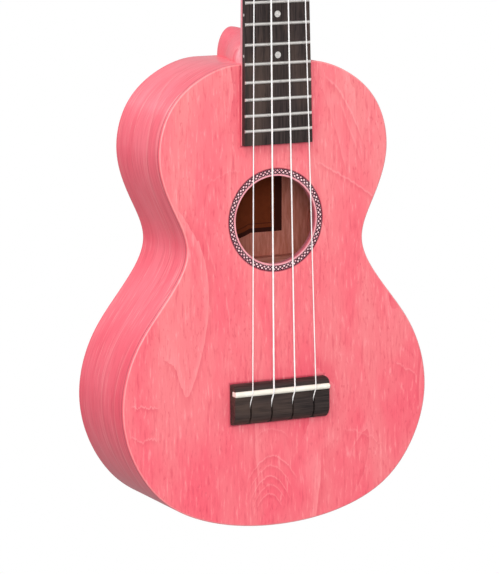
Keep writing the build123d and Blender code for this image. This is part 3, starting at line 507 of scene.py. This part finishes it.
def soundboard_figure_and_shade(tree, woods, place, base):
    """Draw the figure lines, and paint shade beside the fretboard and round the bridge.

    Each line is a wavy parabola. Its pale crest lies on the curve and a deeper shade fades below.
    """
    xyz = parts_of(tree, place)
    stretched = vector_calc(tree, "MULTIPLY", place, WAVE_STRETCH)
    wave = calc(tree, "SUBTRACT", noise(tree, stretched, 1.0, 3.0, 0.65), 0.5)
    across = calc(tree, "MULTIPLY", xyz["X"], 1000.0)
    height = calc(tree, "MULTIPLY", xyz["Z"], 1000.0)
    pale = 0.0
    shade = 0.0
    for middle, level, slope, bend, reach, waviness, strength in FIGURE_LINES:
        offset = calc(tree, "SUBTRACT", across, middle)
        fall = calc(tree, "MULTIPLY", calc(tree, "MULTIPLY", offset, offset), bend)
        curve = calc(tree, "SUBTRACT", calc(tree, "MULTIPLY_ADD", offset, slope, level), fall)
        curve = calc(tree, "MULTIPLY_ADD", wave, waviness * 2, curve)
        gap = calc(tree, "DIVIDE", calc(tree, "SUBTRACT", height, curve), math.hypot(1.0, slope))
        shown = span(tree, calc(tree, "ABSOLUTE", offset), reach, 0.6 * reach, 0.0, strength)
        crest = calc(tree, "MULTIPLY", span(tree, calc(tree, "ABSOLUTE", gap), 0.9, 0.1), shown)
        below = calc(tree, "MULTIPLY", span(tree, gap, -4.0, -0.6), span(tree, gap, 0.1, -0.5))
        pale = calc(tree, "MAXIMUM", pale, crest)
        shade = calc(tree, "MAXIMUM", shade, calc(tree, "MULTIPLY", below, shown))
    base = blend_colour(tree, calc(tree, "MULTIPLY", shade, 0.30), base, tuple(woods.stain_fleck))
    base = blend_colour(tree, calc(tree, "MULTIPLY", pale, 0.45), base, tuple(woods.stain_crest))
    # Painted shade: a soft darkening and a dark contact-shadow line round the fretboard's end and the
    # bridge.
    beside = calc(tree, "SUBTRACT", calc(tree, "ABSOLUTE", across), FRETBOARD_HALF_WIDTH)
    above_end = calc(tree, "SUBTRACT", FRETBOARD_END, height)
    board = calc(tree, "MAXIMUM", beside, above_end)
    bridge_side = calc(tree, "SUBTRACT", calc(tree, "ABSOLUTE", across), BRIDGE_HALF_LENGTH)
    from_bridge = calc(tree, "ABSOLUTE", calc(tree, "ADD", height, BRIDGE_BELOW_NUT))
    bridge_end = calc(tree, "SUBTRACT", from_bridge, BRIDGE_HALF_WIDTH)
    contact_distance = calc(tree, "MINIMUM", board, calc(tree, "MAXIMUM", bridge_side, bridge_end))
    soft = span(tree, contact_distance, 13.0, 0.0, 0.0, 0.35)
    base = blend_colour(tree, soft, base, tuple(woods.stain_deep))
    line = span(tree, contact_distance, 1.5, 0.1, 0.0, 0.75)
    base = blend_colour(tree, line, base, CONTACT_SHADOW_COLOUR)
    # A pale ring lies between the rosette and the soundhole, and a line of painted shade outside the
    # rosette.
    up = calc(tree, "POWER", calc(tree, "ADD", height, HOLE_BELOW_NUT), 2.0)
    radius = calc(tree, "SQRT", calc(tree, "ADD", calc(tree, "POWER", across, 2.0), up))
    base = blend_colour(tree, span(tree, radius, 27.8, 27.2, 0.0, 0.9), base, PALE_RING_COLOUR)
    dark = calc(tree, "MULTIPLY", span(tree, radius, 30.4, 30.6), span(tree, radius, 31.3, 30.9, 0.0, 0.8))
    return blend_colour(tree, dark, base, RING_SHADE_COLOUR)


def heel_light_and_shade(tree, woods, place, base):
    """Paint a highlight on the neck and heel close behind the fretboard, and paint shade towards the back.
    """
    depth = parts_of(tree, place)["Y"]
    base = blend_colour(tree, span(tree, depth, 0.020, 0.040, 0.0, 0.7), base, tuple(woods.rib_deep))
    return blend_colour(tree, span(tree, depth, 0.017, 0.010, 0.0, 0.75), base, HEEL_HIGHLIGHT_COLOUR)


ALONG_Z_FINE = (600.0, 600.0, 85.0)
ALONG_Z_BROAD = (34.0, 34.0, 11.0)
RIB_FINE = (55.0, 820.0, 34.0)
RIB_BROAD = (14.0, 42.0, 9.0)
ALONG_X_FINE = (60.0, 900.0, 900.0)
ALONG_X_BROAD = (12.0, 40.0, 40.0)
NECK_FINE = (620.0, 620.0, 26.0)
NECK_BROAD = (40.0, 40.0, 9.0)


class UKULELE_OT_soundboard(bpy.types.Operator):
    """Stain the soundboard, with a painted rim highlight and bare wood underneath"""

    bl_idname = "ukulele.soundboard"
    bl_label = "Soundboard"

    def execute(self, context):
        woods = context.scene.ukulele_woods
        material = stained_wood(
            "soundboard_stain", woods, "soundboard", ALONG_Z_FINE, ALONG_Z_BROAD, 5.0,
            woods.stain_light, woods.stain_deep, edge=0.55, depth=0.55, marks=soundboard_figure_and_shade,
        )
        dress("soundboard", material)
        return {"FINISHED"}


class UKULELE_OT_ribs_and_back(bpy.types.Operator):
    """Stain the ribs and the back, with bare wood inside the body"""

    bl_idname = "ukulele.ribs_and_back"
    bl_label = "Ribs and back"

    def execute(self, context):
        woods = context.scene.ukulele_woods
        ribs = stained_wood(
            "rib_stain", woods, "ribs", RIB_FINE, RIB_BROAD, 3.0,
            woods.rib_light, woods.rib_deep, seam=0.8, depth=0.5,
        )
        back = stained_wood(
            "back_stain", woods, "back", ALONG_Z_FINE, ALONG_Z_BROAD, 6.0,
            woods.stain_light, woods.stain_deep, edge=0.5, depth=0.3,
        )
        dress("side_bass", ribs)
        dress("side_treble", ribs)
        dress("back_plate", back)
        return {"FINISHED"}


class UKULELE_OT_neck(bpy.types.Operator):
    """Stain the neck, the heel and the headstock"""

    bl_idname = "ukulele.neck"
    bl_label = "Neck, heel and headstock"

    def execute(self, context):
        woods = context.scene.ukulele_woods
        shaft = stained_wood(
            "neck_stain", woods, None, NECK_FINE, NECK_BROAD, 5.0,
            woods.rib_light, woods.rib_deep, marks=heel_light_and_shade,
        )
        for node in ("fretboard_base", "neck", "heel"):
            dress(node, shaft)
        head = stained_wood(
            "head_stain", woods, None, NECK_FINE, NECK_BROAD, 5.0, woods.stain_light, woods.stain_deep
        )
        dress("headstock", head)
        return {"FINISHED"}


class UKULELE_OT_inner_frame(bpy.types.Operator):
    """Leave the blocks, linings and braces as bare wood"""

    bl_idname = "ukulele.inner_frame"
    bl_label = "Inner frame"

    def execute(self, context):
        woods = context.scene.ukulele_woods
        upright = plain_wood("bare_wood_upright", woods, ALONG_Z_FINE, ALONG_Z_BROAD)
        level = plain_wood("bare_wood_level", woods, ALONG_X_FINE, ALONG_X_BROAD)
        for node in ("neck_block", "tail_block", "fan_braces", "neck_dowels", "top_linings", "back_linings"):
            dress(node, upright)
        for node in ("top_cross_braces", "back_braces", "bridge_plate"):
            dress(node, level)
        ring = stained_wood(
            "hole_ring_stain", woods, None, ALONG_X_FINE, ALONG_X_BROAD, 3.0,
            woods.ring_light, woods.ring_deep,
        )
        dress("soundhole_ring", ring)
        return {"FINISHED"}


class UKULELE_OT_fretboard_and_bridge(bpy.types.Operator):
    """Dark wood for the fretboard and the bridge"""

    bl_idname = "ukulele.fretboard_and_bridge"
    bl_label = "Fretboard and bridge"

    def execute(self, context):
        woods = context.scene.ukulele_woods
        dress("fretboard", dark_wood("fretboard_wood", woods, (1100.0, 1100.0, 38.0), (90.0, 90.0, 14.0)))
        dress("bridge", dark_wood("bridge_wood", woods, (38.0, 1100.0, 1100.0), (14.0, 90.0, 90.0)))
        return {"FINISHED"}


# ---- Rosette and label ----
ROSETTE_WIDTH = 3.3 * MM
ROPE_PALE_SECOND = (0.97, 0.78, 0.79)
ROPE_DARK_SECOND = (0.075, 0.010, 0.026)
# The label's outline: a rectangle with a round bulge below its foot.
LABEL_HALF_WIDTH = 34.6 * MM
LABEL_CROWN = -244.95 * MM
LABEL_FOOT_BELOW_NUT = 300.05 * MM
BULGE_BELOW_NUT = 275.65 * MM
BULGE_RADIUS = 27.8 * MM
RULE_INSET = 7.4 * MM
PAPER_SECOND = (0.22, 0.046, 0.014)


class UKULELE_OT_rosette(bpy.types.Operator):
    """Draw the rope pattern on the rosette's ring"""

    bl_idname = "ukulele.rosette"
    bl_label = "Rosette"

    repeats: bpy.props.IntProperty(name="Repeats", description="Twists round the ring", default=68)
    rows: bpy.props.FloatProperty(name="Rows", description="Twists across the ring", default=1.5)

    def execute(self, context):
        """The ring is unrolled to an angle and a radius; blocks lie between two sets of slanting lines."""
        fittings = context.scene.ukulele_fittings
        low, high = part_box("rosette")
        centre = (low + high) / 2
        outer = (high.x - low.x) / 2
        inner = outer - ROSETTE_WIDTH
        material, tree, shader = new_material("rope_inlay")
        place = vector_calc(tree, "SUBTRACT", object_place(tree), tuple(centre))
        xyz = parts_of(tree, place)
        turn = calc(tree, "DIVIDE", calc(tree, "ARCTAN2", xyz["Z"], xyz["X"]), 2 * math.pi)
        squares = calc(tree, "ADD", calc(tree, "POWER", xyz["X"], 2.0), calc(tree, "POWER", xyz["Z"], 2.0))
        radius = calc(tree, "SQRT", squares)
        across = calc(tree, "DIVIDE", calc(tree, "SUBTRACT", radius, inner), outer - inner)
        along = calc(tree, "MULTIPLY", turn, float(self.repeats))
        slant = calc(tree, "MULTIPLY", across, self.rows)
        lines = []
        for operation in ("ADD", "SUBTRACT"):
            cell = calc(tree, "FRACT", calc(tree, "ADD", calc(tree, operation, along, slant), 100.0))
            middle = calc(tree, "ABSOLUTE", calc(tree, "SUBTRACT", cell, 0.5))
            lines.append(span(tree, middle, 0.25, 0.33))
        block = calc(tree, "SUBTRACT", 1.0, calc(tree, "MAXIMUM", lines[0], lines[1]))
        outer_line = span(tree, across, 0.86, 0.90)
        inner_line = span(tree, across, 0.10, 0.06)
        pale = calc(tree, "MULTIPLY", block, calc(tree, "SUBTRACT", 1.0, outer_line))
        pale = calc(tree, "MULTIPLY", pale, calc(tree, "SUBTRACT", 1.0, inner_line))
        tint = noise(tree, place, 900.0, 2.0)
        rope_pale, rope_dark = tuple(fittings.rosette_pale), tuple(fittings.rosette_dark)
        pale_colour = blend_colour(tree, span(tree, tint, 0.35, 0.65), rope_pale, ROPE_PALE_SECOND)
        dark_colour = blend_colour(tree, span(tree, tint, 0.3, 0.7), rope_dark, ROPE_DARK_SECOND)
        feed(tree, shader.inputs["Base Color"], blend_colour(tree, pale, dark_colour, pale_colour))
        feed(tree, shader.inputs["Roughness"], span(tree, tint, 0.3, 0.7, 0.34, 0.46))
        shader.inputs["Specular IOR Level"].default_value = 0.25
        dress("rosette", material)
        return {"FINISHED"}


class UKULELE_OT_label(bpy.types.Operator):
    """Print the paper label: a dark border and a thin rule, with no lettering"""

    bl_idname = "ukulele.label"
    bl_label = "Label"

    def execute(self, context):
        fittings = context.scene.ukulele_fittings
        material, tree, shader = new_material("label_paper")
        xyz = parts_of(tree, object_place(tree))
        side = calc(tree, "SUBTRACT", LABEL_HALF_WIDTH, calc(tree, "ABSOLUTE", xyz["X"]))
        crown = calc(tree, "SUBTRACT", LABEL_CROWN, xyz["Z"])
        # The foot follows the straight edge, then the round bulge that hangs below it.
        up = calc(tree, "POWER", calc(tree, "ADD", xyz["Z"], BULGE_BELOW_NUT), 2.0)
        out = calc(tree, "SQRT", calc(tree, "ADD", calc(tree, "POWER", xyz["X"], 2.0), up))
        straight = calc(tree, "ADD", xyz["Z"], LABEL_FOOT_BELOW_NUT)
        foot = calc(tree, "MAXIMUM", straight, calc(tree, "SUBTRACT", BULGE_RADIUS, out))
        end = calc(tree, "MINIMUM", crown, foot)
        side_band = span(tree, side, 5.1 * MM, 4.8 * MM)
        border = calc(tree, "MAXIMUM", side_band, span(tree, end, 2.9 * MM, 2.6 * MM))
        nearest = calc(tree, "MINIMUM", side, calc(tree, "ADD", end, 2.0 * MM))
        rule = calc(tree, "ABSOLUTE", calc(tree, "SUBTRACT", nearest, RULE_INSET))
        ink = calc(tree, "MAXIMUM", border, span(tree, rule, 0.35 * MM, 0.2 * MM, 0.0, 0.7))
        fibre = noise(tree, object_place(tree), 420.0, 4.0, 0.6)
        aged = blend_colour(tree, span(tree, fibre, 0.3, 0.7, 0.0, 0.6), tuple(fittings.paper), PAPER_SECOND)
        feed(tree, shader.inputs["Base Color"], blend_colour(tree, ink, aged, tuple(fittings.ink)))
        feed(tree, shader.inputs["Roughness"], span(tree, fibre, 0.3, 0.7, 0.55, 0.75))
        shader.inputs["Specular IOR Level"].default_value = 0.12
        dress("label", material)
        return {"FINISHED"}


# ---- Metal, plastic and nylon ----
def moulded(name, tint, second, rough, coat=0.0, swirl=60.0):
    """Plastic with a faint swirl of a second colour and soft handling marks."""
    material, tree, shader = new_material(name)
    place = object_place(tree)
    streaks = noise(tree, place, swirl, 3.0, 0.5, 1.6)
    colours = blend_colour(tree, span(tree, streaks, 0.35, 0.65), tuple(tint), second)
    feed(tree, shader.inputs["Base Color"], colours)
    smudge = use_group(tree, smudge_group(), Place=place, Size=180.0)["Mask"]
    feed(tree, shader.inputs["Roughness"], span(tree, smudge, 0.3, 0.7, rough, rough + 0.12))
    shader.inputs["Coat Weight"].default_value = coat
    shader.inputs["Coat Roughness"].default_value = 0.08
    return material


def metal(name, tint, rough, stretch, bump=0.00001):
    """Polished metal with fine scratches along one axis and dulled patches."""
    material, tree, shader = new_material(name)
    place = object_place(tree)
    scratch = noise(tree, vector_calc(tree, "MULTIPLY", place, stretch), 1.0, 3.0, 0.6)
    smudge = use_group(tree, smudge_group(), Place=place, Size=240.0)["Mask"]
    darker = tuple(0.72 * channel for channel in tint)
    dulled = blend_colour(tree, span(tree, smudge, 0.55, 0.8), tuple(tint), darker)
    feed(tree, shader.inputs["Base Color"], dulled)
    shader.inputs["Metallic"].default_value = 1.0
    scratched = span(tree, scratch, 0.3, 0.7, rough, rough + 0.10)
    worn = calc(tree, "ADD", span(tree, smudge, 0.35, 0.7, 0.0, 0.10), scratched)
    feed(tree, shader.inputs["Roughness"], worn)
    add_bump(tree, shader, scratch, bump)
    return material


class UKULELE_OT_frets_saddle_and_nut(bpy.types.Operator):
    """Nickel frets, cream saddle and nut, and pearl position marks"""

    bl_idname = "ukulele.frets_saddle_and_nut"
    bl_label = "Frets, saddle, nut and marks"

    def execute(self, context):
        fittings = context.scene.ukulele_fittings
        dress("frets", metal("fret_nickel", fittings.nickel, 0.38, (60.0, 900.0, 900.0), 0.000001))
        ivory = moulded("ivory_plastic", fittings.ivory, (0.84, 0.80, 0.70), 0.30, 0.2, 90.0)
        dress("saddle", ivory)
        dress("nut", ivory)
        pearl = moulded("pearl_marks", fittings.marks, (0.40, 0.39, 0.38), 0.22, 0.3, 700.0)
        dress("face_dots", pearl)
        dress("side_dots", pearl)
        return {"FINISHED"}


class UKULELE_OT_tuners(bpy.types.Operator):
    """Plated plates, worms and posts, brass wheels and pearl knobs"""

    bl_idname = "ukulele.tuners"
    bl_label = "Tuners"

    def execute(self, context):
        fittings = context.scene.ukulele_fittings
        plated = metal("tuner_plating", fittings.plating, 0.14, (900.0, 900.0, 60.0))
        turned = metal("turned_plating", fittings.plating, 0.10, (120.0, 2400.0, 120.0))
        brass = metal("gear_brass", fittings.brass, 0.22, (1500.0, 1500.0, 1500.0))
        knob = moulded("knob_pearl", fittings.pearl, (0.74, 0.75, 0.78), 0.12, 0.6, 110.0)
        for name in STRINGS:
            dress(f"tuner_plate_{name}", plated)
            dress(f"worm_shaft_{name}", turned)
            dress(f"string_post_{name}", turned)
            dress(f"gear_wheel_{name}", brass)
            dress(f"tuner_button_{name}", knob)
        dress("post_bushings", turned)
        dress("tuner_screws", plated)
        return {"FINISHED"}


def nylon_material(fittings):
    """Clear white monofilament: pale, slightly see-through and glossy."""
    material, tree, shader = new_material("clear_nylon")
    place = object_place(tree)
    cloudy = noise(tree, place, 300.0, 3.0)
    milky = blend_colour(tree, span(tree, cloudy, 0.3, 0.7), tuple(fittings.nylon), (1, 1, 1))
    feed(tree, shader.inputs["Base Color"], milky)
    feed(tree, shader.inputs["Roughness"], span(tree, cloudy, 0.3, 0.7, 0.16, 0.28))
    shader.inputs["Subsurface Weight"].default_value = 0.25
    shader.inputs["Subsurface Radius"].default_value = (0.001, 0.001, 0.001)
    shader.inputs["Coat Weight"].default_value = 0.4
    shader.inputs["Coat Roughness"].default_value = 0.08
    return material


# ---- New meshes ----
def tube_mesh(name, paths, radius, sides, closed):
    """Tubes round one or more paths, as one mesh.

    Each path is an array of points. Round each point lies a ring: the point plus the radius times
    cosine and sine of the ring's angle, along two directions square to the path, the first of them
    pointing away from the path's own middle. Open paths end in a flat cap.
    """
    ring = np.arange(sides) * 2 * math.pi / sides
    vertices = []
    faces = []
    for path in paths:
        count = len(path)
        ahead = np.roll(path, -1, 0) - np.roll(path, 1, 0)
        if not closed:
            ahead[0] = path[1] - path[0]
            ahead[-1] = path[-1] - path[-2]
        ahead /= np.linalg.norm(ahead, axis=1)[:, None]
        out = path - path.mean(0)
        out -= (out * ahead).sum(1)[:, None] * ahead
        out /= np.linalg.norm(out, axis=1)[:, None]
        side = np.cross(ahead, out)
        rings = (
            path[:, None, :]
            + radius * np.cos(ring)[None, :, None] * out[:, None, :]
            + radius * np.sin(ring)[None, :, None] * side[:, None, :]
        )
        base = sum(len(block) for block in vertices)
        rows = np.arange(count if closed else count - 1)
        row_start = base + rows[:, None] * sides
        next_start = base + ((rows + 1) % count)[:, None] * sides
        corner = np.arange(sides)[None, :]
        next_corner = (corner + 1) % sides
        here = row_start + corner
        beside = row_start + next_corner
        above = next_start + corner
        above_beside = next_start + next_corner
        quads = np.stack([here, beside, above_beside, above], -1).reshape(-1, 4)
        faces.extend(quads.tolist())
        if not closed:
            faces.append((base + np.arange(sides)[::-1]).tolist())
            faces.append((base + (count - 1) * sides + np.arange(sides)).tolist())
        vertices.append(rings.reshape(-1, 3))
    mesh = bpy.data.meshes.new(name)
    mesh.from_pydata(np.concatenate(vertices).tolist(), [], faces)
    mesh.polygons.foreach_set("use_smooth", np.ones(len(mesh.polygons), bool))
    mesh.update()
    piece = bpy.data.objects.new(name, mesh)
    bpy.context.scene.collection.objects.link(piece)
    return piece


def axis_frame(axis):
    """Three directions with the third along an axis, as the columns of an array."""
    third = np.array(axis, float)
    third /= np.linalg.norm(third)
    first = np.cross(third, (1.0, 0.0, 0.0))
    first /= np.linalg.norm(first)
    return np.stack([first, np.cross(third, first), third], 1)


def joint_named(name):
    """A joint of the frame by its name."""
    for joint in frame["joints"]:
        if joint["name"] == name:
            return joint
    raise RuntimeError(f"the frame has no joint named {name}")


POST_RADIUS = 3.0 * MM
COIL_STRING = 0.85 * MM
COIL_PACKING = 0.985
COIL_POINTS = 151
COIL_SIDES = 12
KNOT_STRING_RADIUS = 0.42 * MM
KNOT_POINTS = 72
KNOT_SIDES = 10
KNOT_LIFT = 1.4


class UKULELE_OT_strings(bpy.types.Operator):
    """Nylon strings, with real coils on the posts and knots in the bridge"""

    bl_idname = "ukulele.strings"
    bl_label = "Strings, coils and knots"

    turns: bpy.props.FloatProperty(name="Turns", description="Turns of string on each post", default=3.75)

    def execute(self, context):
        material = nylon_material(context.scene.ukulele_fittings)
        for name in STRINGS:
            dress(f"string_{name}", material)
            self.make_coil(name, material)
        self.make_knots(material)
        return {"FINISHED"}

    def make_coil(self, name, material):
        """A helix: a circle round the post's axis that rises by one string's width each turn."""
        joint = joint_named(f"post_{name}_turn")
        low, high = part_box(f"string_winding_{name}")
        middle = np.array((low + high) / 2)
        directions = axis_frame(joint["axis"])
        radius = POST_RADIUS + COIL_STRING / 2
        share = np.linspace(-0.5, 0.5, COIL_POINTS)
        around = share * self.turns * 2 * math.pi
        rise = share * self.turns * COIL_STRING * COIL_PACKING
        local = np.stack([radius * np.cos(around), radius * np.sin(around), rise], 1)
        path = middle + local @ directions.T
        piece = tube_mesh(f"string_coil_{name}", [path], COIL_STRING / 2, COIL_SIDES, False)
        piece.data.materials.append(material)
        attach(piece, f"post_{name}")
        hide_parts(f"string_winding_{name}")

    def make_knots(self, material):
        """Each knot follows a trefoil: two turns one way while it weaves three times up and down."""
        low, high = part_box("string_knots")
        half = (high.z - low.z) / 2
        spacing = (high.x - low.x - 2 * half) / 3
        turn = np.linspace(0, 2 * math.pi, KNOT_POINTS + 1)[:-1]
        across = np.sin(turn) + 2 * np.sin(2 * turn)
        along = np.cos(turn) - 2 * np.cos(2 * turn)
        trefoil = np.stack([across, along, -KNOT_LIFT * np.sin(3 * turn)], 1)
        trefoil *= (half - KNOT_STRING_RADIUS) / 3.0
        centre_y, centre_z = (low.y + high.y) / 2, (low.z + high.z) / 2
        first = (low.x + high.x) / 2 - 1.5 * spacing
        paths = [trefoil + (first + index * spacing, centre_y, centre_z) for index in range(4)]
        piece = tube_mesh("string_knot_tubes", paths, KNOT_STRING_RADIUS, KNOT_SIDES, True)
        piece.data.materials.append(material)
        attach(piece, "root")
        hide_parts("string_knots")


# ---- Stage ----
FLOOR_RADIUS = 9
FLOOR_SIDES = 96
SKY_COLOUR = (1.0, 0.99, 0.985, 1)
WARM_WHITE = (1.0, 0.985, 0.97)
COOL_WHITE = (0.97, 0.985, 1.0)
WHITE = (1.0, 1.0, 1.0)
BODY_MIDDLE = (0.0, 0.0, -0.30)
FRONT_AIM = (0.0, 0.0, -0.29)


def area_light(name, place, aim, size, power, tint):
    """A square light that looks from a place to an aim point."""
    data = bpy.data.lights.new(name, "AREA")
    data.size = size
    data.energy = power
    data.color = tint
    light = bpy.data.objects.new(name, data)
    light.location = place
    light.rotation_mode = "QUATERNION"
    light.rotation_quaternion = (Vector(aim) - Vector(place)).to_track_quat("-Z", "Y")
    bpy.context.scene.collection.objects.link(light)


def white_to_camera(tree, other, output):
    """White where the camera looks straight at it, and another shader for all other light."""
    path = tree.nodes.new("ShaderNodeLightPath")
    glow = tree.nodes.new("ShaderNodeEmission")
    glow.inputs["Color"].default_value = (1, 1, 1, 1)
    glow.inputs["Strength"].default_value = 1.0
    mix = tree.nodes.new("ShaderNodeMixShader")
    tree.links.new(path.outputs["Is Camera Ray"], mix.inputs[0])
    tree.links.new(other, mix.inputs[1])
    tree.links.new(glow.outputs[0], mix.inputs[2])
    tree.links.new(mix.outputs[0], output)


class UKULELE_OT_stage(bpy.types.Operator):
    """Set up the floor, the soft lights and the camera"""

    bl_idname = "ukulele.stage"
    bl_label = "Stage"

    def execute(self, context):
        settings = context.scene.ukulele_stage
        self.make_floor(settings)
        self.make_lights(context, settings)
        self.make_camera(context, settings)
        context.scene.view_settings.view_transform = "Standard"
        return {"FINISHED"}

    def make_floor(self, settings):
        """A flat disc well below the tail."""
        height = CAD_BOX[0][2] - settings.floor_drop
        around = np.linspace(0, 2 * math.pi, FLOOR_SIDES + 1)[:-1]
        level = np.full(FLOOR_SIDES, height)
        rim = np.stack([FLOOR_RADIUS * np.cos(around), FLOOR_RADIUS * np.sin(around), level], 1)
        mesh = bpy.data.meshes.new("floor")
        mesh.from_pydata(rim.tolist(), [], [list(range(FLOOR_SIDES))])
        floor = bpy.data.objects.new("floor", mesh)
        bpy.context.scene.collection.objects.link(floor)
        material, tree, shader = new_material("pale_floor")
        mottle = noise(tree, object_place(tree), 0.8, 2.0)
        tone = tuple(settings.floor_colour)
        darker = tuple(0.96 * value for value in tone)
        feed(tree, shader.inputs["Base Color"], blend_colour(tree, mottle, tone, darker))
        shader.inputs["Roughness"].default_value = 0.9
        output = next(node for node in tree.nodes if node.type == "OUTPUT_MATERIAL")
        white_to_camera(tree, shader.outputs["BSDF"], output.inputs["Surface"])
        mesh.materials.append(material)

    def make_lights(self, context, settings):
        """An even white sky and four large soft lights."""
        world = bpy.data.worlds.new("studio")
        world.use_nodes = True
        tree = world.node_tree
        tree.nodes.clear()
        output = tree.nodes.new("ShaderNodeOutputWorld")
        sky = tree.nodes.new("ShaderNodeBackground")
        sky.inputs["Color"].default_value = SKY_COLOUR
        sky.inputs["Strength"].default_value = settings.sky
        white_to_camera(tree, sky.outputs[0], output.inputs["Surface"])
        context.scene.world = world
        area_light("key", (-1.15, -1.35, 1.15), BODY_MIDDLE, 1.3, settings.key, WARM_WHITE)
        area_light("front", (-0.95, -2.1, 0.15), FRONT_AIM, 0.7, settings.front, WARM_WHITE)
        area_light("fill", (1.5, -1.7, 0.2), BODY_MIDDLE, 1.6, settings.fill, COOL_WHITE)
        area_light("back", (-0.9, 1.3, 0.9), BODY_MIDDLE, 1.2, settings.back, WHITE)

    def make_camera(self, context, settings):
        """The camera looks from its azimuth and elevation at the aim point, then rolls."""
        turn, rise, roll = settings.camera_azimuth, settings.camera_elevation, settings.camera_roll
        back = Vector((math.sin(turn) * math.cos(rise), -math.cos(turn) * math.cos(rise), math.sin(rise)))
        right = Vector((math.cos(turn), math.sin(turn), 0.0))
        up = back.cross(right)
        rolled_right = math.cos(roll) * right + math.sin(roll) * up
        rolled_up = math.cos(roll) * up - math.sin(roll) * right
        data = bpy.data.cameras.new("camera")
        data.lens = settings.camera_lens
        data.sensor_width = 36.0
        data.clip_start, data.clip_end = 0.05, 100.0
        camera = bpy.data.objects.new("camera", data)
        place = Vector((settings.aim_x, 0.0, settings.aim_z)) + back * settings.camera_distance
        turned = Matrix((rolled_right, rolled_up, back)).transposed()
        camera.matrix_world = Matrix.Translation(place) @ turned.to_4x4()
        context.scene.collection.objects.link(camera)
        context.scene.camera = camera


# ---- Panel and registration ----
OPERATORS = (
    UKULELE_OT_stage,
    UKULELE_OT_soundboard,
    UKULELE_OT_ribs_and_back,
    UKULELE_OT_neck,
    UKULELE_OT_inner_frame,
    UKULELE_OT_fretboard_and_bridge,
    UKULELE_OT_rosette,
    UKULELE_OT_label,
    UKULELE_OT_frets_saddle_and_nut,
    UKULELE_OT_tuners,
    UKULELE_OT_strings,
)
SETTINGS = (
    ("ukulele_stage", UkuleleStageSettings),
    ("ukulele_woods", UkuleleWoodSettings),
    ("ukulele_fittings", UkuleleFittingSettings),
)


class UKULELE_PT_panel(bpy.types.Panel):
    """Lists the ukulele's operators in the sidebar"""

    bl_label = "Ukulele"
    bl_idname = "UKULELE_PT_panel"
    bl_space_type = "VIEW_3D"
    bl_region_type = "UI"
    bl_category = "Ukulele"

    def draw(self, context):
        for operator in OPERATORS:
            self.layout.operator(operator.bl_idname)


def register():
    """Register the settings, the operators and the panel."""
    for name, group in SETTINGS:
        bpy.utils.register_class(group)
        setattr(bpy.types.Scene, name, bpy.props.PointerProperty(type=group))
    for operator in OPERATORS:
        bpy.utils.register_class(operator)
    bpy.utils.register_class(UKULELE_PT_panel)


def unregister():
    """Undo register, last first."""
    bpy.utils.unregister_class(UKULELE_PT_panel)
    for operator in reversed(OPERATORS):
        bpy.utils.unregister_class(operator)
    for name, group in reversed(SETTINGS):
        delattr(bpy.types.Scene, name)
        bpy.utils.unregister_class(group)


def main():
    """Finish the whole instrument."""
    register()
    bpy.ops.ukulele.stage()
    bpy.ops.ukulele.soundboard()
    bpy.ops.ukulele.ribs_and_back()
    bpy.ops.ukulele.neck()
    bpy.ops.ukulele.inner_frame()
    bpy.ops.ukulele.fretboard_and_bridge()
    bpy.ops.ukulele.rosette()
    bpy.ops.ukulele.label()
    bpy.ops.ukulele.frets_saddle_and_nut()
    bpy.ops.ukulele.tuners()
    bpy.ops.ukulele.strings()


if __name__ == "__main__":
    main()
